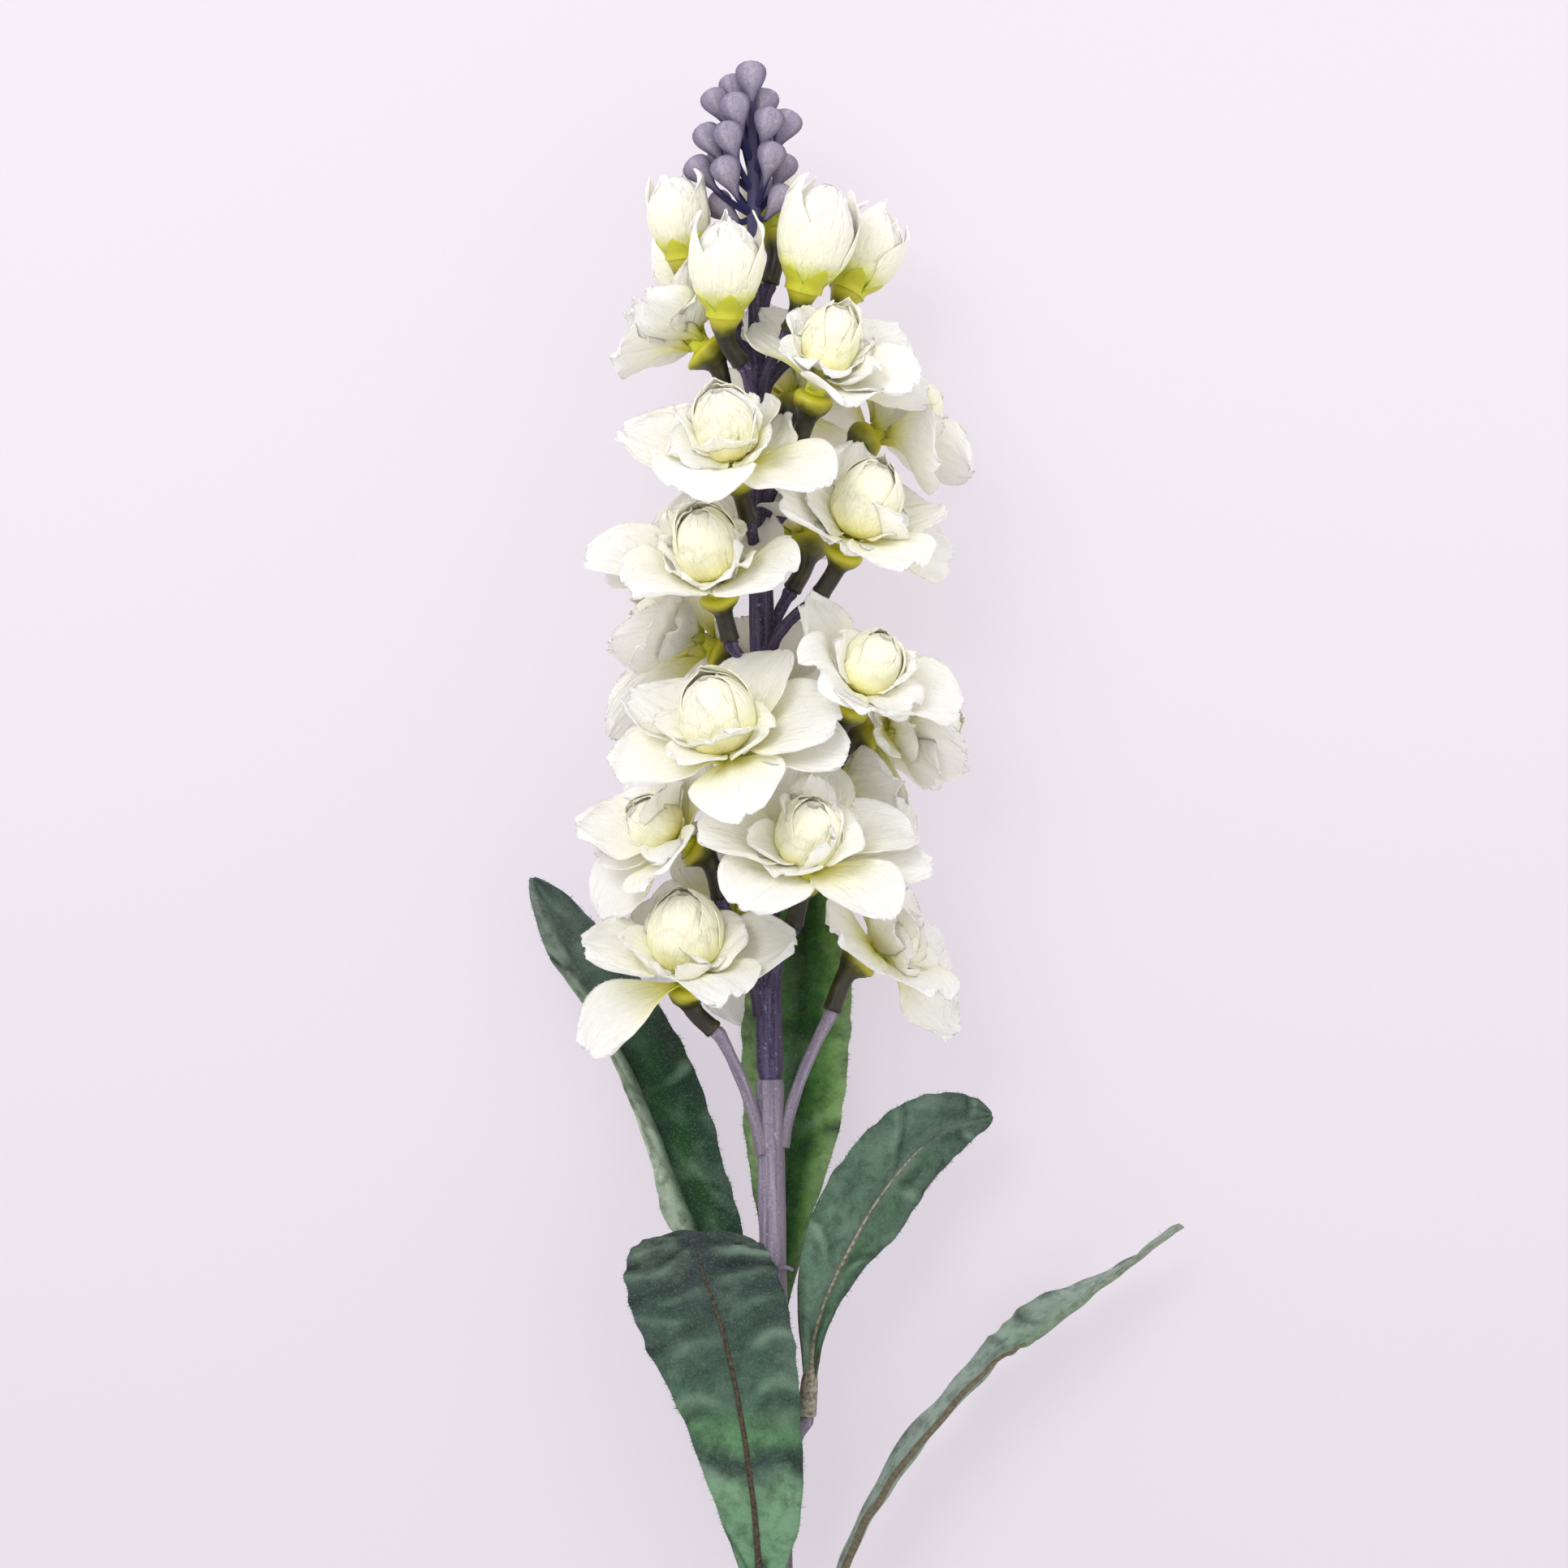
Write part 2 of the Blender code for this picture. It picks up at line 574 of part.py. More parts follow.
LEAVES = [
    Leaf("left", (914, 1645, 0), 1705,
         rib=((906, 1600, 0), (862, 1520, -2), (830, 1440, -6), (796, 1355, -10), (758, 1275, -12),
              (706, 1180, -12), (656, 1082, -10)),
         left=((900, 1598, 1), (823, 1508, 3), (803, 1432, 0), (768, 1335, -5), (724, 1245, -9),
               (672, 1168, -11), (648, 1080, -10)),
         right=((912, 1602, 1), (914, 1516, 2), (890, 1430, -2), (862, 1335, -7), (818, 1248, -10),
                (745, 1150, -12), (672, 1080, -10))),
    Leaf("back", (962, 1660, -8), 1720,
         rib=((962, 1610, -11), (968, 1500, -14), (976, 1400, -16), (983, 1290, -17), (986, 1190, -18),
              (990, 1100, -20), (996, 1036, -20)),
         left=((955, 1608, -10), (934, 1500, -11), (917, 1390, -12), (914, 1290, -13), (924, 1190, -15),
               (950, 1100, -18), (990, 1034, -20)),
         right=((970, 1612, -10), (1000, 1500, -12), (1034, 1390, -13), (1046, 1290, -14), (1048, 1200, -16),
                (1034, 1105, -18), (1002, 1034, -20))),
    Leaf("right", (994, 1745, -1), 1810,
         rib=((998, 1695, -1), (1008, 1630, -3), (1036, 1560, -5), (1076, 1487, -7), (1124, 1425, -8),
              (1170, 1390, -8), (1222, 1374, -7)),
         left=((990, 1693, 0), (984, 1570, 1), (1008, 1480, 0), (1058, 1405, -1), (1120, 1356, -3),
               (1178, 1347, -5), (1218, 1362, -7)),
         right=((1006, 1697, 0), (1018, 1640, 1), (1060, 1568, 0), (1106, 1520, -2), (1150, 1455, -4),
                (1192, 1410, -6), (1224, 1384, -7))),
    Leaf("front", (950, 2040, 7), 2110,
         rib=((938, 1985, 8), (930, 1870, 13), (912, 1740, 17), (890, 1640, 18), (864, 1560, 16),
              (862, 1518, 10), (866, 1560, 3)),
         left=((930, 1985, 9), (884, 1860, 15), (838, 1740, 20), (792, 1650, 21), (770, 1575, 17),
               (790, 1530, 11), (846, 1562, 3)),
         right=((946, 1985, 9), (986, 1870, 14), (986, 1740, 18), (976, 1640, 18), (956, 1562, 15),
                (930, 1532, 10), (884, 1564, 3))),
    Leaf("low_right", (1000, 2160, 1), 2230,
         rib=((1004, 2095, 2), (1040, 1935, 3), (1103, 1818, 3), (1219, 1686, 2), (1285, 1642, 0),
              (1372, 1572, -4), (1456, 1510, -8)),
         left=((998, 2093, 2), (1030, 1932, -3), (1106, 1786, -8), (1200, 1672, -11), (1262, 1610, -12),
               (1360, 1568, -12), (1452, 1508, -9)),
         right=((1010, 2097, 1), (1046, 1925, -6), (1112, 1806, -12), (1212, 1682, -16), (1280, 1640, -17),
                (1368, 1570, -16), (1458, 1512, -10))),
]


def along_line(line, count):
    """Points at even steps on a smooth curve through a line's own points."""
    last = len(line) - 1
    found = []
    for step in np.linspace(0, last, count):
        i = min(int(step), last - 1)
        t = step - i
        a, b, c, d = (line[min(max(k, 0), last)] for k in (i - 1, i, i + 1, i + 2))
        square, cube = 2 * a - 5 * b + 4 * c - d, 3 * b - a - 3 * c + d
        found.append(0.5 * (2 * b + (c - a) * t + square * t ** 2 + cube * t ** 3))
    return np.array(found)


def leaf_sheet(leaf, rows=LEAF_ROWS, columns=LEAF_COLUMNS):
    """The middle surface of a leaf, bulging a little between its rib and each edge."""
    left, rib, right = (along_line(line, rows) for line in leaf.lines)
    sheet = []
    for u in np.linspace(-1, 1, columns):
        edge = left if u < 0 else right
        normal = np.cross(right - left, np.gradient(rib, axis=0))
        normal /= np.linalg.norm(normal, axis=1)[:, None]
        bulge = 0.07 * np.linalg.norm(edge - rib, axis=1)[:, None] * math.sin(math.pi * abs(u))
        sheet.append(rib + (edge - rib) * abs(u) + normal * bulge)
    return off_floor(np.stack(sheet, axis=1), LEAF_BLADE / 2)


def leaf_shapes(leaf):
    """A leaf's blade, and the stalk with the socket that carries it."""
    rib = leaf.lines[1]
    first = rib[1] - rib[0]
    stalk = [leaf.foot, leaf.foot + (rib[0] - leaf.foot) * 0.75, rib[0] + first * 0.05, rib[0] + first * 0.25]
    radii = [SLEEVE_RADIUS * share for share in STALK_TAPER]
    return [blade(leaf_sheet(leaf), LEAF_BLADE), tube(stalk, radii, STALK_SIDES, SOCKET_RADIUS, SOCKET_DEPTH)]


# The unopened buds at the tip: their middles as pixels with depths in mm
TIP_BUDS = [
    (885, 132, 0), (908, 140, 5), (905, 116, -4), (940, 133, -4), (945, 157, 4), (965, 160, 0), (877, 177, 1),
    (900, 175, 6), (866, 214, 0), (898, 218, 5), (948, 200, 5), (963, 212, -2), (957, 250, 3), (893, 258, -3),
    (914, 160, -6), (938, 185, -7), (893, 205, -6), (935, 235, -7),
]
TOP_BUD = (926, 122)
CROWN_RADIUS = 1.9 * MM
BUD_LENGTH = 9.5 * MM
BUD_RADIUS = 3.1 * MM
BUD_STALK = 0.7 * MM


def tip_shapes():
    """The crown with its socket and the bud at its end, then a stalk and a bud at each place."""
    crown, top = stem_point(CROWN_ROW - 3), place(*TOP_BUD)
    upward = unit(top - crown)
    path = [crown, (crown + top) / 2, top, top + upward * 0.4 * BUD_LENGTH, top + upward * BUD_LENGTH]
    radii = [CROWN_RADIUS, 0.75 * CROWN_RADIUS, BUD_STALK, BUD_RADIUS, 0.25 * BUD_RADIUS]
    shapes = [tube(path, radii, 6, PIN_SOCKET, PIN_LENGTH + CLEARANCE)]
    for column, row, depth in TIP_BUDS:
        middle = place(column, row, depth * MM)
        root = stem_point(min(row + 62, CROWN_ROW - 34))
        heading = unit(middle - (root + (middle - root) * 0.4) + ALONG * 3 * MM)
        foot = middle - heading * 0.45 * BUD_LENGTH
        path = [root, foot, middle + heading * 0.05 * BUD_LENGTH, middle + heading * 0.45 * BUD_LENGTH]
        shapes.append(tube(path, [BUD_STALK, BUD_STALK, BUD_RADIUS, 0.4 * BUD_RADIUS], 5))
    return shapes


def main():
    for old in list(bpy.data.objects):
        bpy.data.objects.remove(old)
    petal_cloth = plain_material("petal_cloth", (0.93, 0.92, 0.86), 0.8)
    calyx_plastic = plain_material("calyx_plastic", (0.35, 0.45, 0.03), 0.5)
    stem_plastic = plain_material("stem_plastic", (0.20, 0.16, 0.26), 0.75)
    flock = plain_material("bud_flock", (0.25, 0.22, 0.36), 0.9)
    leaf_felt = plain_material("leaf_felt", (0.07, 0.15, 0.10), 0.9)
    steel = plain_material("steel_wire", (0.4, 0.4, 0.42), 0.4, 1.0)
    room = Room()
    cut, joint, crown = stem_point(CUT_ROW), stem_point(JOINT_ROW), stem_point(CROWN_ROW)
    upward = unit(crown - cut)
    joint_above = joint + upward * GAP
    wire = tube([cut, joint + upward * (WIRE_ABOVE_JOINT - GAP)], [WIRE_RADIUS] * 2, STEM_SIDES)
    stem_points, stem_faces = tube([cut, joint], [STEM_RADIUS] * 2, STEM_SIDES, bore=BORE_RADIUS)
    lower = [(off_floor(stem_points, 0), stem_faces)]
    pin = [crown - upward * GAP, crown + upward * (PIN_LENGTH - GAP)]
    spike_path = [joint_above, stem_point(900), stem_point(500), crown - upward * 2 * GAP, *pin]
    spike_radii = [SPIKE_RADIUS, SPIKE_RADIUS, 0.8 * SPIKE_RADIUS, TIP_RADIUS, PIN_RADIUS, PIN_RADIUS]
    spike = [tube(spike_path, spike_radii, 6, BORE_RADIUS, WIRE_ABOVE_JOINT)]
    for holder in BLOOMS:
        heading = unit(holder.throat - holder.foot)
        (lower if holder.root > JOINT_ROW else spike).append(peg_shape(holder.root, holder.foot, heading))
    for leaf in LEAVES:
        lower.append(peg_shape(leaf.root, leaf.foot, unit(leaf.lines[1][0] - leaf.foot)))
    plain_nodes = [("stem_wire", [wire], steel), ("stem_lower", lower, stem_plastic),
                   ("stem_spike", spike, stem_plastic), ("bud_tip", tip_shapes(), flock)]
    plain_nodes += [("calyx_" + bloom.name, [calyx_shape(bloom)], calyx_plastic) for bloom in BLOOMS]
    plain_nodes += [("leaf_" + leaf.name, leaf_shapes(leaf), leaf_felt) for leaf in LEAVES]
    for node, shapes, material in plain_nodes:
        fuse(node, shapes, material)
        for shape in shapes:
            room.add(node, shape)
    shapes = bloom_middles(room)
    add_outer_petals(room, shapes)
    for bloom in BLOOMS:
        fuse("petals_" + bloom.name, shapes[bloom.name], petal_cloth)


main()
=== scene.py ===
"""A stem of white stock, made as an artificial cut flower, laid on a pale surface and seen from above.

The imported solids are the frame. Each is replaced here by a finer piece in the same place: petals of thin
cloth, calyxes of soft plastic, a fluted flocked stem with its side pegs, flocked buds and leaves of felt.
Places are read off the photograph as pixels and turned to metres by place(). Other sizes are real sizes.
"""

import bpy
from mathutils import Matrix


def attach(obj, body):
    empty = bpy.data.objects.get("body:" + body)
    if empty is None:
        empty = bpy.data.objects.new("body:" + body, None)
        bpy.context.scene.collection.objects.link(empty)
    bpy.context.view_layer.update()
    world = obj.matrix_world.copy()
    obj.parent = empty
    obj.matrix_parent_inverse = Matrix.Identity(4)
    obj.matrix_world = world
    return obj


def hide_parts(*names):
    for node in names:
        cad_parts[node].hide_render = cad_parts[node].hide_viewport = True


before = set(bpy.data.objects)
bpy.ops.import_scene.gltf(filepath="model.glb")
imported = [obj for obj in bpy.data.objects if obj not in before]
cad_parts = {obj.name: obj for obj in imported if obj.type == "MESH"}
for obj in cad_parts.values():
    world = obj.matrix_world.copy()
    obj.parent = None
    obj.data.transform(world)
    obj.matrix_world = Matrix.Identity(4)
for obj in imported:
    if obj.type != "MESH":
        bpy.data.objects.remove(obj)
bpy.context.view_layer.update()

import math

import bpy
import numpy as np
from mathutils import Matrix
from mathutils.kdtree import KDTree

MM = 0.001

# The stem, and how the photograph's pixels lie on it, as in the part's source
LENGTH = 620 * MM
STEM_RADIUS = 3.4 * MM
STEM_SIDES = 8
SPIKE_RADIUS = 3.0 * MM
TIP_RADIUS = 1.3 * MM
RISE = math.radians(3.7)
PIXEL = 0.20 * MM
PICTURE_MIDDLE = 966
PICTURE_WIDTH = 1932
TIP_ROW = 88
JOINT_ROW = 1330
CROWN_ROW = 300
STEM_COLUMN, STEM_COLUMN_ROW, STEM_DRIFT = 953, 1550, 0.0186
VIEW_DISTANCE = 1.5
MIDDLE_ACROSS = 17.6 * MM
MIDDLE_ALONG = -133.1 * MM
BLADE = 0.6 * MM
GAP = 0.3 * MM
CUP_DEPTH = 6 * MM
SOCKET_DEPTH = 6 * MM
WIRE_RADIUS = 1.1 * MM
BORE_RADIUS = 1.5 * MM
FULL_TURN = 2 * math.pi

# Waves start at random up to here, in radians
ANY_START = 6.3

ACROSS = np.array([1.0, 0.0, 0.0])
ALONG = np.array([0.0, math.cos(RISE), math.sin(RISE)])
OUT = np.array([0.0, -math.sin(RISE), math.cos(RISE)])
CUT_ROW = TIP_ROW + LENGTH / PIXEL
CUT_ALONG = (PICTURE_MIDDLE - CUT_ROW) * PIXEL
CUT_HEIGHT = STEM_RADIUS * math.cos(math.pi / STEM_SIDES) * math.cos(RISE)
START = np.array([-MIDDLE_ACROSS, -MIDDLE_ALONG * math.cos(RISE), CUT_HEIGHT - CUT_ALONG * math.sin(RISE)])
EYE = START + OUT * VIEW_DISTANCE


def place(column, row, depth=0.0):
    """The point that a pixel shows, at a depth in metres toward the viewer from the stem's own axis."""
    scale = PIXEL * (1 - depth / VIEW_DISTANCE)
    across = scale * (column - PICTURE_MIDDLE)
    along = scale * (PICTURE_MIDDLE - row)
    return START + ACROSS * across + ALONG * along + OUT * depth


def spot(column, row, depth):
    """As place, with the depth in mm."""
    return place(column, row, depth * MM)


def stem_point(row, depth=0.0):
    return place(STEM_COLUMN + (row - STEM_COLUMN_ROW) * STEM_DRIFT, row, depth)


def unit(vector):
    return vector / np.linalg.norm(vector)


def units(vectors):
    """Each vector of a row or grid of them at length one."""
    return vectors / (np.linalg.norm(vectors, axis=-1, keepdims=True) + 1e-12)


def run_of(line):
    """How far along a line each of its points is."""
    return np.concatenate([[0], np.cumsum(np.linalg.norm(np.diff(line, axis=0), axis=1))])


def points_at(run, line, spots):
    """Points of a line at distances along it."""
    return np.stack([np.interp(spots, run, line[:, k]) for k in range(3)], axis=1)


def bent_line(start, bend, end, t):
    """Points on a curve from start to end, drawn toward bend."""
    return (1 - t) ** 2 * start + 2 * t * (1 - t) * bend + t ** 2 * end


def wave(luck, slow, fast, along):
    """A sine of random pace and start."""
    return np.sin(luck.uniform(slow, fast) * along + luck.uniform(0, ANY_START))


def round_angles(count):
    return np.arange(count) * FULL_TURN / count


def direction(aim):
    """aim is in degrees: to the right of straight up the picture, then toward the viewer."""
    turn, tilt = math.radians(aim[0]), math.radians(aim[1])
    flat = ACROSS * math.sin(turn) + ALONG * math.cos(turn)
    return flat * math.cos(tilt) + OUT * math.sin(tilt)


def turned(vector, axis, degrees):
    angle = math.radians(degrees)
    flat = np.cross(axis, vector)
    return vector * math.cos(angle) + flat * math.sin(angle) + axis * (axis @ vector) * (1 - math.cos(angle))


def sides_of(axis):
    """Two directions square to an axis. The first points down the picture as far as it can."""
    first = unit(-ALONG + OUT * 0.2 - axis * ((-ALONG + OUT * 0.2) @ axis))
    return first, np.cross(first, axis)


class Bloom:
    """Where one bloom sits, and how its petals stand. Tips are the pixels where outer petals end."""

    def __init__(self, name, cup, foot, aim, tips=(), form="open", root=75, length=30, width=22,
                 middle=(9.2, 23), petals=6, lean=18, swell=1.0):
        self.name = name
        self.cup = spot(*cup)
        self.foot = spot(*foot)
        self.axis = direction(aim)
        self.tips = tips
        self.petals = petals
        self.lean = lean
        self.swell = swell
        self.form = form
        self.root = foot[1] + root
        self.length = length * MM
        self.width = width * MM
        self.middle_radius = middle[0] * MM
        self.middle_height = middle[1] * MM
        self.base = self.cup + self.axis * GAP
        self.throat = self.cup - self.axis * CUP_DEPTH


BLOOMS = [
    Bloom("front_left", (905, 940, 19), (918, 1000, 12), (-20, 27), length=33, width=24, middle=(9.2, 25),
          tips=((926, 780), (752, 872), (748, 968), (925, 1014), (1056, 930), (1042, 878))),
    Bloom("front_right", (990, 1078, 19), (978, 1140, 10), (8, 33), length=33, width=24, middle=(8.2, 21),
          tips=((850, 1018), (905, 1115), (1060, 1168), (1157, 1092), (1128, 1003), (1010, 925))),
    Bloom("mid_left_top", (908, 584, 18), (922, 640, 11), (-14, 26), length=32, width=24, middle=(8, 23),
          tips=((986, 490), (985, 604), (838, 602), (757, 545), (835, 466), (940, 452))),
    Bloom("up_right", (1004, 484, 13), (979, 560, 8), (17, 18), length=31, middle=(7.2, 23),
          tips=((905, 398), (968, 374), (1105, 388), (1155, 452), (1055, 505), (1140, 495))),
    Bloom("mid_left", (885, 730, 14), (900, 790, 10), (-14, 28), length=31, width=23, middle=(8.2, 23),
          tips=((955, 640), (977, 712), (738, 697), (727, 632), (768, 730), (860, 615))),
    Bloom("mid_right", (1042, 676, 11), (1010, 733, 8), (24, 22), width=23, middle=(8.4, 24),
          tips=((984, 580), (1042, 533), (1183, 678), (1132, 712), (1165, 605))),
    Bloom("low_right", (1050, 866, 10), (1016, 935, 6), (27, 24), length=29, middle=(7.4, 20),
          tips=((998, 728), (988, 838), (1075, 895), (1198, 870), (1163, 822))),
    Bloom("base_left", (848, 1214, 9), (881, 1270, 7), (-3, 22), root=150, length=31, width=23,
          middle=(9.2, 25),
          tips=((706, 1180), (718, 1308), (934, 1135), (905, 1228), (870, 1075))),
    Bloom("base_right", (1068, 1178, 0), (1025, 1246, 0), (55, 6), root=166, middle=(6.5, 15),
          tips=((1036, 1198), (1060, 1098), (1167, 1138), (1192, 1262))),
    Bloom("low_left", (850, 1042, 4), (888, 1108, 2), (-58, 12), root=142, middle=(7, 17),
          tips=((687, 1046), (718, 1120), (815, 1098), (740, 1015), (810, 965))),
    Bloom("up_left", (866, 428, 2), (893, 492, 0), (-42, -4), length=25, width=18, middle=(6, 17), lean=38,
          swell=1.25, tips=((793, 367), (755, 392), (768, 442), (848, 346))),
    Bloom("up_far_right", (1072, 538, -6), (1030, 590, -6), (55, -25), length=29, lean=30,
          tips=((1190, 530), (1160, 465), (1012, 515))),
    Bloom("back_right", (1075, 905, -9), (1022, 955, -8), (78, -12), length=28,
          tips=((1193, 938), (1138, 1002), (1060, 1010), (1112, 846))),
    Bloom("back_left", (880, 800, -12), (905, 850, -9), (-62, -8), length=31,
          tips=((740, 783), (742, 812), (728, 888), (860, 740)), petals=5),
    Bloom("back_middle", (990, 668, -10), (975, 728, -7), (-12, -30), length=26, width=20,
          swell=1.2, tips=((966, 620),), petals=5),
    Bloom("base_back", (902, 1140, -14), (930, 1190, -8), (-40, -42), width=21,
          tips=((934, 1272),), petals=5),
    Bloom("under_low", (1015, 985, -14), (985, 1040, -9), (50, -42), length=28, petals=5),
    Bloom("under_middle", (925, 880, -16), (940, 935, -9), (-15, -50), petals=5),
    Bloom("under_high", (975, 500, -15), (955, 560, -9), (15, -48), length=28, width=21, petals=5),
    Bloom("bud_left", (843, 318, 0), (868, 374, -1), (-7, 6), form="bud", middle=(9, 24.5)),
    Bloom("bud_middle", (893, 388, 13), (914, 448, 9), (2, 14), form="bud", middle=(9.2, 24)),
    Bloom("bud_right", (990, 356, 9), (972, 408, 6), (14, 10), form="bud", middle=(9.6, 27)),
    Bloom("bud_far_right", (1043, 360, -6), (1020, 412, -6), (26, -10), form="bud", middle=(9, 23)),
    Bloom("bud_back", (955, 292, -12), (948, 350, -8), (-6, -35), form="bud", middle=(8.5, 21)),
    Bloom("bud_back_left", (880, 352, -14), (905, 405, -9), (-50, -32), form="bud", middle=(8.5, 21)),
]

# How the petals of the solids are cut and placed, as in the part's source
PETAL_ROWS = (0, 0.3, 0.68, 1)
MIDDLE_ROWS = (0.7, 1)
PETAL_BOW = 0.14
PETAL_KNEE = 0.42
WIDEST = 0.66
PETAL_CUP = 0.6
PRESSED = 2.5 * MM
MOST_EDGE_ON = math.radians(50)
CLAW_RADIUS = 2.8 * MM
CLAW_HEIGHT = 0.8 * MM
UPPER_CLAW_HEIGHT = 2.4 * MM
MIDDLE_CLAW_HEIGHT = 4.0 * MM
MIDDLE_CLAW_RADIUS = 2.6 * MM
BUD_CLAW_HEIGHT = 1.2 * MM
MIDDLE_SPAN = math.radians(54)
BUD_SPAN = math.radians(43)
MIDDLE_SIZES = (1.0, 0.92, 0.84, 0.76, 0.68)
CHANGES = [
    (lift, turn, size)
    for size in (1.0, 0.88, 0.76, 0.64)
    for lift in (0, 8, -8, 16, -16, 26, -26, 38, 50)
    for turn in (0, 8, -8, 17, -17)
]

# The cloth itself
CLOTH = 0.28 * MM
LOWEST_POINT = 0.02 * MM
LOWEST_THREAD = 0.1 * MM
LOWEST_PETAL = 0.3 * MM
OPEN_GRID = (28, 19)
INNER_GRID = (23, 15)
CLOSED_GRID = (19, 14)
THREAD_SPACING = 0.5 * MM
THREAD_LENGTH = 0.45 * MM

# The core of a bloom's middle next to its egg, and how a bud widens from its cup, in which its petals start
HEART_SHARE = 0.92
HEART_SIDES = 24
BUD_TAPER = 2.1
BUD_CLAW_RADIUS = 4.3 * MM
BUD_SUNK = 0.08

# Rings of closed petals from the outside in: how wide each ring and its petals are next to the solid's,
# how far the petals bend in at the top, and how far the ring is turned, in petals
EGG_RINGS = ((1.0, 1.38, 1.03, 0.0), (0.968, 1.5, 1.11, 0.5), (0.943, 1.75, 1.19, 0.2))
EGG_RISE = 0.88

# Shorter petals inside the outer ones. Their leans are in degrees: usual, for every other petal more, and
# less on the side of the viewer. Some blooms have more or fewer of them than usual
INNER_CLAW_HEIGHT = 3.2 * MM
INNER_LEAN, MORE_UPRIGHT, LEAN_TO_VIEWER = 46, 15, 24
USUAL_INNER_PETALS = 7
INNER_PETALS = {"mid_left_top": 8, "up_right": 8, "low_left": 5, "base_right": 5, "up_left": 4,
                "up_far_right": 4}


def ease(v, start):
    """0 up to start, and from there evenly up to 1 at v = 1."""
    return np.clip((v - start) / (1 - start), 0, 1)


def end_share(v):
    """How a petal narrows past its widest place."""
    return 1 - 0.4 * ease(v, WIDEST) ** 2


def width_share(v):
    """A petal's width from its claw, v = 0, to its tip, v = 1."""
    rise = 0.11 + 0.89 * np.sin(0.5 * math.pi * np.clip(v / WIDEST, 0, 1)) ** 1.7
    return rise * end_share(v)


def off_floor(points, lowest):
    points = points.copy()
    points[..., 2] = np.maximum(points[..., 2], lowest)
    return points


def petal_sheet(bloom, claw, tip, width, v=np.array(PETAL_ROWS)[:, None], u=np.linspace(-1, 1, 3)):
    """Points on an outer petal's middle surface, at shares v of its length and u of its half width.

    A petal that would be seen edge-on is rolled toward the viewer as it leaves its claw.
    """
    axis = bloom.axis
    reach = tip - bloom.base
    length = np.linalg.norm(reach)
    heading = reach / length
    radial = unit(heading - (heading @ axis) * axis + 1e-6 * ACROSS)
    bow = unit(axis - (axis @ heading) * heading)
    knee = bloom.base + reach * PETAL_KNEE + bow * PETAL_BOW * length
    along = v[:, :1]
    spine = bent_line(claw, knee, tip, along)
    tangent = units((1 - along) * (knee - claw) + along * (tip - knee))
    side = unit(np.cross(axis, radial))
    side = units(side - (tangent @ side)[:, None] * tangent)
    face = np.cross(tangent, side)
    view = unit(EYE - tip)
    seen = math.atan2(side[-1] @ view, face[-1] @ view)
    if abs(seen) > math.pi / 2:
        seen -= math.copysign(math.pi, seen)
    roll = math.copysign(max(0, abs(seen) - MOST_EDGE_ON), seen) * np.clip(along / 0.5, 0, 1)
    side, face = side * np.cos(roll) - face * np.sin(roll), face * np.cos(roll) + side * np.sin(roll)
    half = 0.5 * width * width_share(v)
    sheet = spine[:, None, :] + side[:, None, :] * (half * np.sin(PETAL_CUP * u) / PETAL_CUP)[..., None]
    sheet += face[:, None, :] * (half * (1 - np.cos(PETAL_CUP * u)) / PETAL_CUP)[..., None]
    sheet -= tangent[:, None, :] * (np.abs(u) ** 2.2 * v ** 3 * 0.16 * length)[..., None]
    return off_floor(sheet, BLADE / 2)


def egg_sheet(bloom, angle, v, share=1.0, rise=1.0, close=0.55, taper=None, claw=MIDDLE_CLAW_RADIUS):
    """Points on the egg that a bloom's closed petals make, at angles round it and shares v of its height."""
    bud = bloom.form == "bud"
    first, second = sides_of(bloom.axis)
    below = np.clip(1 - v / 0.5, 0, 1)
    swell = 1 - below ** (taper or (4 if bud else 3)) - close * ease(v, 0.5) ** 2.5
    out = claw + (bloom.middle_radius * share - claw) * swell
    claw_height = BUD_CLAW_HEIGHT if bud else MIDDLE_CLAW_HEIGHT
    up = claw_height + (bloom.middle_height * rise - claw_height) * v
    sheet = bloom.base + bloom.axis * up[..., None]
    return sheet + first * (out * np.cos(angle))[..., None] + second * (out * np.sin(angle))[..., None]


def middle_span(bloom, v):
    bud = bloom.form == "bud"
    span = BUD_SPAN if bud else MIDDLE_SPAN
    return span * (0.5 + 0.5 * np.minimum(1, v / 0.4)) * (1 - (0.7 if bud else 0.5) * v ** 5)


def way_out(bloom, turn):
    first, second = sides_of(bloom.axis)
    return first * math.cos(turn) + second * math.sin(turn)


def facing(bloom, turn):
    """How far a side of a bloom faces the viewer, from -1 to 1."""
    return way_out(bloom, turn) @ unit(EYE - bloom.base)


def ring_point(bloom, turn, radius, height):
    return bloom.base + way_out(bloom, turn) * radius + bloom.axis * height


def tip_of(bloom, pixel):
    """The tip on a pixel's line of sight, at the petal's length and on the side where the petals lean."""
    ray = unit(place(*pixel) - EYE)
    back = bloom.base - EYE
    along = back @ ray
    spare = along ** 2 - back @ back + bloom.length ** 2
    if spare <= 0:
        return EYE + ray * along
    ends = [EYE + ray * (along + sign * math.sqrt(spare)) for sign in (-1, 1)]
    want = math.sin(math.radians(bloom.lean))
    return min(ends, key=lambda end: abs((end - bloom.base) @ bloom.axis / bloom.length - want))


def turn_of(bloom, point):
    first, second = sides_of(bloom.axis)
    return math.atan2((point - bloom.base) @ second, (point - bloom.base) @ first) % FULL_TURN


